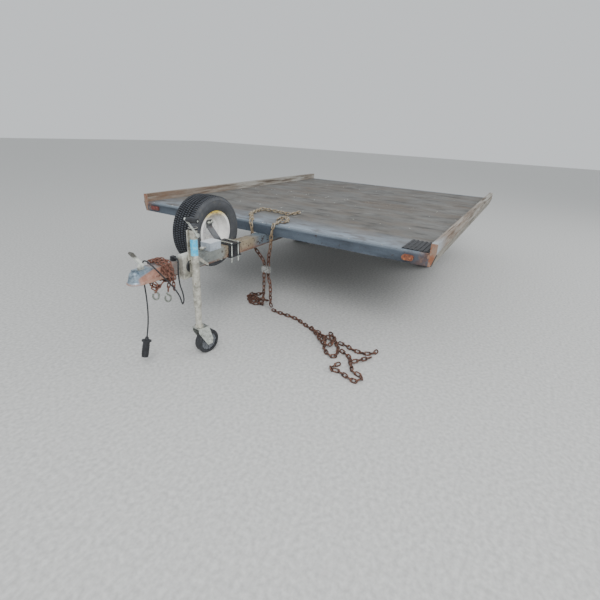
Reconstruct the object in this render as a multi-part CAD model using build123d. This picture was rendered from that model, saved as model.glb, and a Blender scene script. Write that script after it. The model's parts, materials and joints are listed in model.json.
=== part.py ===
from build123d import *
import os
from math import cos, pi, radians, sin, tan

# Two-place tilt-bed snowmobile trailer, standing on its wheels and its swivel jack.
# Millimetres. X runs forward to the coupler, Y to the trailer's left, Z up from the ground.
# Stations along X are measured from the front face of the bed, positive ahead of it.

# Bed frame
BED_LENGTH = 3048
BED_WIDTH = 2438
FRAME_BOTTOM = 605
CHANNEL_HEIGHT = 76
CHANNEL_FLANGE = 38
CHANNEL_WALL = 5
DECK_THICKNESS = 18
DECK_SHEETS = 2
SHEET_GAP = 3
MEMBER_WIDTH = 40
MEMBER_WALL = 4
MEMBER_SHARES = (0.2, 0.4, 0.8)

# Lamps, reflector and blank plate on the end channels, insets from the bed's edge
TAIL_LAMP_DEPTH = 30
TAIL_LAMP_SIZE = 100
TAIL_LAMP_HEIGHT = 70
TAIL_LAMP_INSET = 209
TAIL_LAMP_LIFT = 2
LAMP_INSET = 122
LAMP_Z = 640
LAMP_LENGTH = 72
LAMP_HEIGHT = 34
LAMP_DEPTH = 18
REFLECTOR_INSET = 98
REFLECTOR_LENGTH = 92
REFLECTOR_HEIGHT = 32
REFLECTOR_DEPTH = 9
PLATE_INSET = 459
PLATE_WIDTH = 300
PLATE_HEIGHT = 150
PLATE_THICKNESS = 2

# Timber boards along both sides, each with a steel strip along its bevel
BOARD_THICKNESS = 38
BOARD_HEIGHT = 140
BOARD_BEVEL_HEIGHT = 78
BOARD_BEVEL_WIDTH = 22
BOARD_SHOE = 6

# Tongue
TONGUE_WIDTH = 76.2
TONGUE_HEIGHT = 76.2
TONGUE_WALL = 5
TONGUE_SEAT_GAP = 0.5
TONGUE_FRONT = 950
TONGUE_TAIL = 46

# Tilt pivot
AXLE_X = -2030
PIVOT_PIN_R = 10
PIVOT_CLEARANCE = 0.05
PIVOT_LUG_GAP = 1.5
PIVOT_LUG_THICKNESS = 8
PIVOT_LUG_R = 26
PIVOT_HEAD = 8
PIVOT_HEAD_R = 17
PIVOT_BEAM_AHEAD = 30

# Axle, leaf springs, hangers and the risers above them
AXLE_SIZE = 50
AXLE_OVERHANG = 70
WHEEL_Y = 810
SPINDLE_R = 14
SPINDLE_TIP = 30
SPRING_Y = 610
SPRING_LENGTH = 660
SPRING_WIDTH = 45
SPRING_LEAF = 7
SPRING_LEAVES = 3
SPRING_ARCH = 70
SPRING_STEPS = 4
SPRING_EYE_R = 16
SPRING_EYE_SINK = 4
SPRING_BOLT_R = 5
HANGER_WALL = 6
HANGER_TOP = 60
HANGER_FOOT = 36
HANGER_DROP = 24
RISER_HEIGHT = 130
RISER_LENGTH = 900

# Tyres and rims
TYRE_R = 236
TYRE_WIDTH = 190
TYRE_SIDES = 34
TYRE_SHOULDER = 30
TYRE_BULGE = 50
TYRE_SKIN = 18
RIM_SEAT_R = 127
RIM_FLANGE_R = 141
RIM_FLANGE_GAP = 6
RIM_WIDTH = 160
RIM_WALL = 3.2
RIM_WELL_DEPTH = 22
RIM_WELL_SLOPE = 16
RIM_NEAR_SEAT = 46
RIM_FAR_SEAT = 34
RIM_DISC_THICKNESS = 4
RIM_DISC_R = 83
RIM_DISC_DISH = 16
RIM_DISC_EDGE = 6
WHEEL_DISC_OFFSET = 20
WHEEL_BORE = 33
LUG_CIRCLE_R = 57.15
LUG_COUNT = 5
LUG_HOLE_R = 6.5

# Hubs with their studs and nuts
HUB_R = 40
HUB_LENGTH = 62
HUB_CAP = 38
HUB_FLANGE_R = 66
HUB_FLANGE = 10
HUB_END_GAP = 4
HUB_PILOT_GAP = 1
STUD_GAP = 0.3
STUD_SINK = 5
NUT_R = 9.5
NUT_HEIGHT = 16
RUNNING_CLEARANCE = 0.05

# Coupler and its latch
NOSE_X = 1139
BALL_R = 25.4
BALL_CLEARANCE = 0.4
BALL_Z = 582
SOCKET_WALL = 6
SKIRT_R = 47
SKIRT_BOTTOM = 544
SKIRT_EDGE = 4
SKIRT_SLOPE = 14
SKIRT_SHOULDER = 8
COUPLER_REAR = 850
COUPLER_TAPER_X = 930
COUPLER_HOLLOW_LAG = 25
COUPLER_LIFT = 8
COUPLER_WALL = 4
COUPLER_FIT = 0.3
DOME_STEPS = ((1, 4), (-3, 16), (-12, 25.4))
DOME_FLAT = 24
LATCH_WIDTH = 24
LATCH_FOOT = (1039, 632)
LATCH_TIP = (1104, 712)
LATCH_DEPTH = 10
LATCH_TIP_DEPTH = 6
LATCH_LIP = 8
LATCH_POST_INSET = 5
LATCH_POST_OUTLINE = ((-4, 0), (32, 0), (32, 12))
LATCH_POST_TOP = ((20, 8), (8, 0))

# Swivel jack on the left side of the tongue
JACK_X = 777
JACK_Y = 107
JACK_OUTER_R = 22.5
JACK_INNER_R = 19
JACK_TOP = 790
JACK_CAP = 8
JACK_CAP_LIP = 3
JACK_TOP_WALL = 6
JACK_OUTER_BOTTOM = 325
JACK_INNER_TOP = 565
JACK_SLIDE_CLEARANCE = 0.06
JACK_PIVOT_Z = 572
JACK_RING_R = 32
JACK_RING_DEPTH = 8
JACK_STUD_R = 12
JACK_STUD_LENGTH = 12
JACK_STUD_CLEARANCE = 0.1
JACK_STUD_POCKET = 4.5
JACK_SWING_GAP = 0.3
JACK_BACK_HALF = 20
JACK_BACK_HEIGHT = 34
JACK_SADDLE = 4
JACK_STRIP_REAR = 8
JACK_STRIP_FRONT = 28
JACK_STRIP_DEPTH = 6
JACK_STRIP_RISE = 40
JACK_COLLAR = 7
JACK_COLLAR_HEIGHT = 10
JACK_WHEEL_R = 76
JACK_WHEEL_WIDTH = 52
JACK_TREAD_R = 56
JACK_TREAD_EDGE = 8
JACK_CORE_R = 20
JACK_CORE_INSET = 10
JACK_CORE_STAND = 2
JACK_AXLE_R = 6
JACK_AXLE_END = 3
JACK_TRAIL = 52
CASTER_TURN = -8
JACK_FORK_WALL = 5
JACK_FORK_GAP = 3
JACK_FORK_RISE = 38
JACK_FORK_REAR = 46
JACK_FORK_FRONT = 26
JACK_FORK_SIDE = 28
JACK_KINGPIN_R = 10
JACK_KINGPIN = 60
JACK_LEG_GAP = 2
CHEEK_HALF = 18
CHEEK_BELOW = 14
CHEEK_REAR = 24
CHEEK_ABOVE = 16

# Welded bracket that stands off the tongue and carries the jack, with a strap to the tongue's lower edge
BRACKET_WALL = 6
BRACKET_DEPTH = 36
BRACKET_REAR = 50
BRACKET_FRONT = 61
BRACKET_RISE = 40
BRACKET_DROP = 24
STRAP_HIGH = (690, 590)
STRAP_LOW = (604, 521)
STRAP_WIDTH = 14
STRAP_WALL = 6

# Crank of the jack
CRANK_DROP = 31
CRANK_ARM = 130
CRANK_ANGLE = 52
CRANK_ARM_R = 6
CRANK_BOSS_R = 11
CRANK_BOSS = 16
CRANK_ELBOW_R = 8
CRANK_PIN_R = 5
CRANK_GRIP = 80
CRANK_GRIP_R = 13
CRANK_GRIP_START = 4
CRANK_GRIP_END = 2

# Spare wheel and its carrier: U-bolts round the tongue, clamp plates, a flange and an arm
SPARE_X = 366
SPARE_Z = 663
SPARE_NEAR_Y = -104
SPARE_DISC_OFFSET = 16
U_BOLT_R = 5
U_BOLT_STATIONS = (322, 388)
U_BOLT_TAIL = 42
U_NUT_R = 9
U_NUT_HEIGHT = 9
CLAMP_WALL = 6
CLAMP_SIDE = 8
CLAMP_REACH_Y = 88
CLAMP_END_GAP = 22
CLAMP_FLANGE = 4
ARM_WIDTH = 50
ARM_WALL = 4
ARM_BEND = 90
ARM_TIP = 16

# Steel box with its pull pin, on the tongue behind the jack
STUB_FRONT = 578
STUB_LENGTH = 97
STUB_WIDTH = 78
STUB_HEIGHT = 51
STUB_WALL = 5
PIN_HEIGHT_SHARE = 0.35
PIN_R = 5
PIN_LENGTH = 30
KNOB_R = 11
KNOB_START = 24
KNOB_END = 40

# Lock chain and safety chain
CHAIN_PITCH = 52
CHAIN_WIRE = 10
CHAIN_WIDTH = 32
CHAIN_SLACK = 0.5
CHAIN_TOUCH = 0.3
SAFETY_PITCH = 44
SAFETY_WIRE = 8
SAFETY_WIDTH = 24
LIE_ROLL = 45

# Padlock that joins the two strands in front of the bed
PADLOCK_Y = 85
PADLOCK_Z = 354
PADLOCK_X = 34
PADLOCK_DEPTH = 22
PADLOCK_WIDTH = 70
PADLOCK_HEIGHT = 48
SHACKLE_R = 4
SHACKLE_BACK = 6.4
SHACKLE_TOUCH = 0.3
LINK_PART = 1

# Wiring cord with its grommet and plug
CORD_D = 8
GROMMET_HALF = 12
GROMMET_DEPTH = 22
GROMMET_RISE = 10
PLUG_R = 19
PLUG_LENGTH = 100
PLUG_CAP_R = 27
PLUG_CAP_WALL = 7
CORD_CORNER_SHARE = 0.45

# Route of the cord from its grommet, over the coupler, down to the plug: X, Y, Z
CORD_ROUTE = [
    (849, 24, 625), (849, 44, 625), (855, 60, 615), (865, 67, 590), (870, 67, 541), (867, 71, 478),
    (857, 77, 434), (853, 79, 395), (866, 88, 378), (886, 101, 378), (899, 110, 395), (905, 107, 430),
    (914, 93, 463), (926, 77, 494), (952, 69, 532), (982, 66, 572), (1011, 60, 612), (1024, 38, 638),
    (1021, 6, 648), (1013, -28, 640), (1007, -52, 610), (1004, -58, 556), (1001, -57, 485), (999, -56, 410),
    (1001, -55, 340), (1008, -54, 275), (1022, -52, 215), (1036, -51, 165),
]

# Strands of the lock chain that hang against the front channel: Y, Z
FRONT_STRAND = [(85, 405), (87, 451), (99, 515), (105, 600), (113, 655)]
LEFT_STRAND = [(-76, 672), (-66, 600), (-60, 520), (-30, 478), (17, 430), (44, 392), (45, 318), (46, 186)]
RIGHT_STRAND = [(85, 285), (103, 225), (107, 134)]

# Where the two hanging strands come down in front of the bed: X, Y, Z
LEFT_LANDING = [(14, 41, 120), (-8, 20, 50), (-30, -6, 15)]
RIGHT_LANDING = [(6, 103, 70), (-4, 106, 28)]

# Runs of the lock chain on the ground: X, Y
LEFT_HEAP = [(-26, -40), (-5, -85), (-69, -170), (-164, -205), (-186, -158), (-225, -144)]
SMALL_HEAP = [(-133, -16), (-123, -29), (-120, -68), (-107, -120), (-84, -158)]
GROUND_STRAND = [(0, 118), (13, 190), (17, 275), (29, 359), (67, 445), (99, 522), (111, 569), (127, 610),
                 (189, 681), (276, 718), (332, 769), (339, 822), (257, 811), (182, 761), (106, 701), (75, 652)]
GROUND_BRANCH = [(167, 776), (175, 839), (193, 874), (200, 927), (195, 975), (156, 1019), (103, 1030)]
GROUND_TAIL = [(248, 828), (294, 906), (334, 930), (382, 958), (430, 992), (443, 1036), (464, 1057), (512, 1039),
               (503, 992), (488, 953), (476, 915), (477, 869), (437, 870), (408, 883)]
GROUND_END = [(340, 950), (276, 993), (220, 1032)]

# Runs of the lock chain on the deck: X, Y
DECK_LEFT = [(-13, -84), (-63, -139), (-105, -160), (-150, -213), (-283, -253), (-390, -270), (-402, -196),
             (-389, -88), (-378, 16), (-510, 32)]
DECK_RIGHT = [(-13, 130), (-50, 116), (-91, 117), (-102, 153), (-202, 107), (-227, 55), (-148, 52)]

# Safety chain: stations of its turns round the coupler, then its hanging end as X, Y, Z
SAFETY_TURNS = (899, 926)
SAFETY_START = 570
SAFETY_END = [(938, 36, 478), (948, 24, 425)]

# Worked out from the values above
FRAME_TOP = FRAME_BOTTOM + CHANNEL_HEIGHT
DECK_BOTTOM = FRAME_TOP - DECK_THICKNESS
BED_REAR = -BED_LENGTH
BED_HALF = BED_WIDTH / 2
TONGUE_TOP = FRAME_BOTTOM - TONGUE_SEAT_GAP
TONGUE_BOTTOM = TONGUE_TOP - TONGUE_HEIGHT
TONGUE_HALF = TONGUE_WIDTH / 2
PIVOT_X = AXLE_X
PIVOT_Z = TONGUE_TOP - TONGUE_HEIGHT / 2
PIVOT_FRONT = PIVOT_X + PIVOT_BEAM_AHEAD + MEMBER_WIDTH
AXLE_Z = TYRE_R
SPRING_EYE_Z = (AXLE_Z + AXLE_SIZE / 2 + SPRING_LEAVES * SPRING_LEAF + SPRING_ARCH
                + SPRING_EYE_R - SPRING_EYE_SINK)
STRINGER_HALF = SPRING_WIDTH / 2 + HANGER_WALL
JACK_WHEEL_X = JACK_X - JACK_TRAIL
JACK_FORK_TOP = 2 * JACK_WHEEL_R + JACK_FORK_RISE
COUPLER_ROOF = TONGUE_TOP + COUPLER_FIT + COUPLER_WALL
BALL_X = NOSE_X - SKIRT_R
SPARE_Y = SPARE_NEAR_Y - RIM_WIDTH / 2
ORIGIN_X = (NOSE_X + BED_REAR - TAIL_LAMP_DEPTH) / 2
SIDES = ((1, "left"), (-1, "right"))
THROUGH = 1
UP = (0, 0, 1)
AHEAD = (1, 0, 0)

nodes = {}


def put(name, *shapes):
    """Keep one sub-part, moved from the bed's front to the middle of the trailer."""
    solids = [s for shape in shapes for s in shape.solids()]
    moved = [s.moved(Location((-ORIGIN_X, 0, 0))) for s in solids]
    nodes[name] = moved[0] if len(moved) == 1 else Compound(children=moved)


def block(x0, x1, y0, y1, z0, z1):
    """A box between two corners."""
    middle = ((x0 + x1) / 2, (y0 + y1) / 2, (z0 + z1) / 2)
    return Pos(*middle) * Box(abs(x1 - x0), abs(y1 - y0), abs(z1 - z0))


def rod(start, end, radius):
    """A round bar from one point to another."""
    direction = Vector(*end) - Vector(*start)
    place = Plane(origin=start, z_dir=direction).location
    return place * Cylinder(radius, direction.length, align=(Align.CENTER, Align.CENTER, Align.MIN))


def plate(points, direction, thickness):
    """A flat outline pushed along a direction."""
    return extrude(make_face(Polyline(*points, close=True)), amount=thickness, dir=direction)


def side_plate(outline, y0, y1):
    """A plate whose outline is given in X and Z, from one Y to another."""
    return plate([(x, y0, z) for x, z in outline], (0, 1, 0), y1 - y0)


def spin_y(profile, x, z):
    """A ring turned about a Y axis, from a profile of radius and Y."""
    face = make_face(Polyline(*[(x + r, y, z) for r, y in profile], close=True))
    return revolve(face, Axis((x, 0, z), (0, 1, 0)), 360)


def spin_z(profile, x, y):
    """A ring turned about a Z axis, from a profile of radius and Z."""
    face = make_face(Polyline(*[(x + r, y, z) for r, z in profile], close=True))
    return revolve(face, Axis((x, y, 0), (0, 0, 1)), 360)


def facet_y(profile, x, z, sides):
    """A ring of flat facets about a Y axis, the flat of one facet at the bottom."""
    step = 2 * pi / sides
    reach = 1 / cos(step / 2)
    turns = [-pi / 2 + (k + 0.5) * step for k in range(sides)]
    rings = [[(x + r * reach * cos(t), y, z + r * reach * sin(t)) for r, y in profile] for t in turns]
    faces = []
    for here, there in zip(rings, rings[1:] + rings[:1]):
        edges = zip(here, here[1:] + here[:1], there[1:] + there[:1], there)
        faces += [Face(Wire.make_polygon(corners, close=True)) for corners in edges]
    return Solid(Shell(faces))


def fuse(*shapes):
    """Join shapes that touch or overlap into one."""
    whole = shapes[0]
    for shape in shapes[1:]:
        whole = whole + shape
    return whole


# Bed frame

def frame_channel(front, rear):
    """A channel across the bed, its web at the outer face and its flanges pointing inward."""
    outer, inner = (front, rear) if front > -BED_LENGTH / 2 else (rear, front)
    step = CHANNEL_WALL if outer < inner else -CHANNEL_WALL
    body = block(outer, inner, -BED_HALF, BED_HALF, FRAME_BOTTOM, FRAME_TOP)
    hollow = block(outer + step, inner, -BED_HALF, BED_HALF,
                   FRAME_BOTTOM + CHANNEL_WALL, FRAME_TOP - CHANNEL_WALL)
    return body - hollow


def side_rail(side):
    """An angle along one side of the bed, under the edge of the deck."""
    x0, x1 = BED_REAR + CHANNEL_FLANGE, -CHANNEL_FLANGE
    edge = side * BED_HALF
    web = block(x0, x1, edge - side * CHANNEL_WALL, edge, FRAME_BOTTOM, DECK_BOTTOM)
    foot = block(x0, x1, edge - side * CHANNEL_FLANGE, edge, DECK_BOTTOM - CHANNEL_WALL, DECK_BOTTOM)
    return web + foot


def cross_member(front):
    """A channel across the bed under the deck, between the side rails, open to the rear."""
    y = BED_HALF - CHANNEL_FLANGE
    body = block(front, front - MEMBER_WIDTH, -y, y, FRAME_BOTTOM, DECK_BOTTOM)
    hollow = block(front - MEMBER_WALL, front - MEMBER_WIDTH, -y, y,
                   FRAME_BOTTOM + MEMBER_WALL, DECK_BOTTOM - MEMBER_WALL)
    return body - hollow


def member_fronts():
    return [-share * BED_LENGTH for share in MEMBER_SHARES]


def stringers():
    """Box tubes along the bed between the members, as wide as the spring hangers under them."""
    fronts = sorted([MEMBER_WIDTH - CHANNEL_FLANGE, *member_fronts(), PIVOT_FRONT], reverse=True)
    rears = [f - MEMBER_WIDTH for f in fronts]
    stops = fronts[1:] + [BED_REAR + CHANNEL_FLANGE]
    for side, word in SIDES:
        y = side * SPRING_Y
        for rear, stop in zip(rears, stops):
            yield block(rear, stop, y - STRINGER_HALF, y + STRINGER_HALF, FRAME_BOTTOM, DECK_BOTTOM)


def deck_sheet(index):
    """One plywood sheet of the deck, lying across the bed between the end channels."""
    x_front, x_rear = -CHANNEL_FLANGE, BED_REAR + CHANNEL_FLANGE
    run = (x_front - x_rear - (DECK_SHEETS - 1) * SHEET_GAP) / DECK_SHEETS
    front = x_front - index * (run + SHEET_GAP)
    return block(front, front - run, -BED_HALF, BED_HALF, DECK_BOTTOM, FRAME_TOP)


def side_board(side):
    """A timber board bolted to the side of the bed, bevelled along its lower outer edge."""
    y0 = side * BED_HALF
    y1 = side * (BED_HALF + BOARD_THICKNESS)
    yb = side * (BED_HALF + BOARD_THICKNESS - BOARD_BEVEL_WIDTH)
    z0, z1 = FRAME_BOTTOM, FRAME_BOTTOM + BOARD_HEIGHT
    zb = z0 + BOARD_BEVEL_HEIGHT
    outline = [(0, y0, z0), (0, yb, z0), (0, y1, zb), (0, y1, z1), (0, y0, z1)]
    return plate(outline, (-1, 0, 0), BED_LENGTH)


def board_shoe(side):
    """A steel strip along the bevel of a side board."""
    yb = side * (BED_HALF + BOARD_THICKNESS - BOARD_BEVEL_WIDTH)
    y1 = side * (BED_HALF + BOARD_THICKNESS)
    z0, zb = FRAME_BOTTOM, FRAME_BOTTOM + BOARD_BEVEL_HEIGHT
    out = side * BOARD_SHOE
    outline = [(0, yb, z0), (0, yb + out, z0), (0, y1 + out, zb), (0, y1, zb)]
    return plate(outline, (-1, 0, 0), BED_LENGTH)


def make_bed():
    put("front_channel", frame_channel(0, -CHANNEL_FLANGE))
    put("rear_channel", frame_channel(BED_REAR + CHANNEL_FLANGE, BED_REAR))
    for side, word in SIDES:
        put(f"side_rail_{word}", side_rail(side))
        put(f"side_board_{word}", side_board(side))
        put(f"board_shoe_{word}", board_shoe(side))
    put("cross_members", *[cross_member(front) for front in member_fronts()])
    put("pivot_beam", cross_member(PIVOT_FRONT))
    put("stringers", *stringers())
    for index in range(DECK_SHEETS):
        put(f"deck_sheet_{index + 1}", deck_sheet(index))


# Lamps and reflectors on the end channels

def make_lamps():
    lamp_y = BED_HALF - LAMP_INSET
    slot = Plane(origin=(0, lamp_y, LAMP_Z), x_dir=(0, 1, 0), z_dir=AHEAD)
    put("marker_lamp_left", extrude(slot * SlotOverall(LAMP_LENGTH, LAMP_HEIGHT), amount=LAMP_DEPTH))
    y = REFLECTOR_INSET - BED_HALF
    half = REFLECTOR_LENGTH / 2
    z0 = LAMP_Z - REFLECTOR_HEIGHT / 2
    put("reflector_right", block(0, REFLECTOR_DEPTH, y - half, y + half, z0, z0 + REFLECTOR_HEIGHT))
    half = TAIL_LAMP_SIZE / 2
    z0 = FRAME_BOTTOM + TAIL_LAMP_LIFT
    for side, word in SIDES:
        y = side * (BED_HALF - TAIL_LAMP_INSET)
        put(f"tail_lamp_{word}",
            block(BED_REAR - TAIL_LAMP_DEPTH, BED_REAR, y - half, y + half, z0, z0 + TAIL_LAMP_HEIGHT))
    y = BED_HALF - PLATE_INSET
    half = PLATE_WIDTH / 2
    put("plate_blank", block(BED_REAR - PLATE_THICKNESS, BED_REAR, y - half, y + half,
                             FRAME_TOP - PLATE_HEIGHT, FRAME_TOP))


# Tilt pivot, axle and springs

def make_pivot():
    """Lugs under the pivot beam hold a pin that runs through the tongue."""
    inner = TONGUE_HALF + PIVOT_LUG_GAP
    outer = inner + PIVOT_LUG_THICKNESS
    reach = outer + PIVOT_HEAD
    lugs = []
    for side, word in SIDES:
        y0, y1 = sorted((side * inner, side * outer))
        ear = rod((PIVOT_X, y0, PIVOT_Z), (PIVOT_X, y1, PIVOT_Z), PIVOT_LUG_R)
        arm = side_plate([(PIVOT_X, PIVOT_Z - PIVOT_LUG_R), (PIVOT_X, PIVOT_Z + PIVOT_LUG_R),
                          (PIVOT_FRONT - MEMBER_WIDTH, FRAME_BOTTOM), (PIVOT_FRONT, FRAME_BOTTOM),
                          (PIVOT_FRONT, PIVOT_Z)], y0, y1)
        hole = rod((PIVOT_X, y0 - THROUGH, PIVOT_Z), (PIVOT_X, y1 + THROUGH, PIVOT_Z), PIVOT_PIN_R)
        lugs.append(fuse(ear, arm) - hole)
    put("pivot_lugs", *lugs)
    pin = rod((PIVOT_X, -reach, PIVOT_Z), (PIVOT_X, reach, PIVOT_Z), PIVOT_PIN_R)
    heads = [rod((PIVOT_X, side * outer, PIVOT_Z), (PIVOT_X, side * reach, PIVOT_Z), PIVOT_HEAD_R)
             for side, word in SIDES]
    put("pivot_pin", fuse(pin, *heads))


def make_axle():
    half = AXLE_SIZE / 2
    reach = SPRING_Y + AXLE_OVERHANG
    tip = WHEEL_Y + SPINDLE_TIP
    beam = block(AXLE_X - half, AXLE_X + half, -reach, reach, AXLE_Z - half, AXLE_Z + half)
    spindle = rod((AXLE_X, -tip, AXLE_Z), (AXLE_X, tip, AXLE_Z), SPINDLE_R)
    put("axle", beam + spindle)


def spring_outline(lift, steps):
    """One leaf seen from the side, on the curve that all the leaves share."""
    half = SPRING_LENGTH / 2
    top = AXLE_Z + AXLE_SIZE / 2 + lift
    shares = [index / SPRING_STEPS for index in range(-steps, steps + 1)]
    curve = [(AXLE_X + share * half, top + SPRING_ARCH * share ** 2) for share in shares]
    return curve + [(x, z + SPRING_LEAF) for x, z in reversed(curve)]


def make_springs():
    """Leaf springs on the axle, each in hangers under a riser tube."""
    ends = [AXLE_X + end * SPRING_LENGTH / 2 for end in (-1, 1)]
    z = SPRING_EYE_Z
    riser_z = FRAME_BOTTOM - RISER_HEIGHT
    for side, word in SIDES:
        y0, y1 = sorted((side * (SPRING_Y - SPRING_WIDTH / 2), side * (SPRING_Y + SPRING_WIDTH / 2)))
        leaves = [side_plate(spring_outline(index * SPRING_LEAF, SPRING_STEPS - (SPRING_LEAVES - 1 - index)),
                             y0, y1) for index in range(SPRING_LEAVES)]
        eyes = [rod((x, y0, z), (x, y1, z), SPRING_EYE_R) for x in ends]
        bores = [rod((x, y0 - THROUGH, z), (x, y1 + THROUGH, z), SPRING_BOLT_R) for x in ends]
        put(f"leaf_spring_{word}", fuse(*leaves, *eyes) - bores[0] - bores[1])
        hangers = [block(AXLE_X - RISER_LENGTH / 2, AXLE_X + RISER_LENGTH / 2, y0 - HANGER_WALL,
                         y1 + HANGER_WALL, riser_z, FRAME_BOTTOM)]
        for x in ends:
            outline = [(x - HANGER_TOP / 2, riser_z), (x + HANGER_TOP / 2, riser_z),
                       (x + HANGER_FOOT / 2, z - HANGER_DROP), (x - HANGER_FOOT / 2, z - HANGER_DROP)]
            hangers += [side_plate(outline, y, y + HANGER_WALL) for y in (y0 - HANGER_WALL, y1)]
            hangers.append(rod((x, y0, z), (x, y1, z), SPRING_BOLT_R))
        put(f"spring_hangers_{word}", *hangers)


# Wheels

def tyre(x, y, z):
    """A low wide trailer tyre, outer skin and the hollow that the rim closes."""
    half = TYRE_WIDTH / 2
    seat = RIM_WIDTH / 2 - RIM_WALL
    outer = [(RIM_SEAT_R, seat), (RIM_FLANGE_R + RIM_FLANGE_GAP, seat), (TYRE_R - TYRE_BULGE, half),
             (TYRE_R, half - TYRE_SHOULDER)]
    inner = [(TYRE_R - TYRE_SKIN, half - TYRE_SHOULDER - TYRE_SKIN)]
    near = [(r, y - dy) for r, dy in outer]
    far = [(r, y + dy) for r, dy in reversed(outer)]
    hollow = [(r, y + s * dy) for s in (1, -1) for r, dy in inner]
    return facet_y(near + far + hollow, x, z, TYRE_SIDES)


def lug_places(x, z):
    """Centres of the wheel bolts round an axle line."""
    for index in range(LUG_COUNT):
        angle = radians(90 + index * 360 / LUG_COUNT)
        yield x + LUG_CIRCLE_R * cos(angle), z + LUG_CIRCLE_R * sin(angle)


def rim(x, y, z, outward, disc_offset):
    """A pressed rim: flanges, seats and well in one skin, with a disc across it."""
    half = RIM_WIDTH / 2
    w = RIM_WALL
    well = RIM_SEAT_R - RIM_WELL_DEPTH
    far0, far1 = -half + RIM_FAR_SEAT, -half + RIM_FAR_SEAT + RIM_WELL_SLOPE
    near0, near1 = half - RIM_NEAR_SEAT, half - RIM_NEAR_SEAT - RIM_WELL_SLOPE
    skin = [(RIM_FLANGE_R, -half), (RIM_SEAT_R - w, -half), (RIM_SEAT_R - w, far0), (well - w, far1),
            (well - w, near1), (RIM_SEAT_R - w, near0), (RIM_SEAT_R - w, half), (RIM_FLANGE_R, half),
            (RIM_FLANGE_R, half - w), (RIM_SEAT_R, half - w), (RIM_SEAT_R, near0 - w), (well, near1 - w),
            (well, far1 + w), (RIM_SEAT_R, far0 + w), (RIM_SEAT_R, -half + w), (RIM_FLANGE_R, -half + w)]
    shell = spin_y([(r, y + dy) for r, dy in skin], x, z)
    d0 = y + disc_offset
    d1 = d0 + outward * RIM_DISC_THICKNESS
    edge0 = d0 - outward * RIM_DISC_DISH
    edge1 = edge0 + outward * RIM_DISC_EDGE
    disc = spin_y([(WHEEL_BORE, d0), (RIM_DISC_R, d0), (well - w, edge0), (well - w, edge1),
                   (RIM_DISC_R, d1), (WHEEL_BORE, d1)], x, z)
    body = shell + disc
    for cx, cz in lug_places(x, z):
        body = body - rod((cx, d0 - RIM_DISC_DISH, cz), (cx, d0 + RIM_DISC_DISH, cz), LUG_HOLE_R)
    return body


def hub(side):
    """A hub that turns on the axle's spindle, with its flange against the wheel disc."""
    y = side * WHEEL_Y
    face = y + side * WHEEL_DISC_OFFSET
    back = face - side * HUB_LENGTH
    cap = face + side * HUB_CAP
    inner = SPINDLE_R + RUNNING_CLEARANCE
    pilot = WHEEL_BORE - HUB_PILOT_GAP
    tip = y + side * (SPINDLE_TIP + HUB_END_GAP)
    step = face - side * HUB_FLANGE
    body = spin_y([(inner, back), (HUB_R, back), (HUB_R, step), (HUB_FLANGE_R, step), (HUB_FLANGE_R, face),
                   (pilot, face), (pilot, cap), (0, cap), (0, tip), (inner, tip)], AXLE_X, AXLE_Z)
    nut_start = face + side * RIM_DISC_THICKNESS
    nut_end = nut_start + side * NUT_HEIGHT
    studs = []
    for cx, cz in lug_places(AXLE_X, AXLE_Z):
        studs.append(rod((cx, face - side * STUD_SINK, cz), (cx, nut_end, cz), LUG_HOLE_R - STUD_GAP))
        studs.append(rod((cx, nut_start, cz), (cx, nut_end, cz), NUT_R))
    return fuse(body, *studs)


def make_wheels():
    for side, word in SIDES:
        y = side * WHEEL_Y
        put(f"tyre_{word}", tyre(AXLE_X, y, AXLE_Z))
        put(f"rim_{word}", rim(AXLE_X, y, AXLE_Z, side, side * WHEEL_DISC_OFFSET))
        put(f"hub_{word}", hub(side))
    put("spare_rim", rim(SPARE_X, SPARE_Y, SPARE_Z, 1, SPARE_DISC_OFFSET))
    put("spare_tyre", tyre(SPARE_X, SPARE_Y, SPARE_Z))


# Tongue, coupler and what stands on the tongue

def make_tongue():
    tail = PIVOT_X - TONGUE_TAIL
    half = TONGUE_HALF
    w = TONGUE_WALL
    body = block(tail, TONGUE_FRONT, -half, half, TONGUE_BOTTOM, TONGUE_TOP)
    hollow = block(tail, TONGUE_FRONT, -half + w, half - w, TONGUE_BOTTOM + w, TONGUE_TOP - w)
    hole = rod((PIVOT_X, -half - THROUGH, PIVOT_Z), (PIVOT_X, half + THROUGH, PIVOT_Z),
               PIVOT_PIN_R + PIVOT_CLEARANCE)
    put("tongue_beam", body - hollow - hole)


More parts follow.
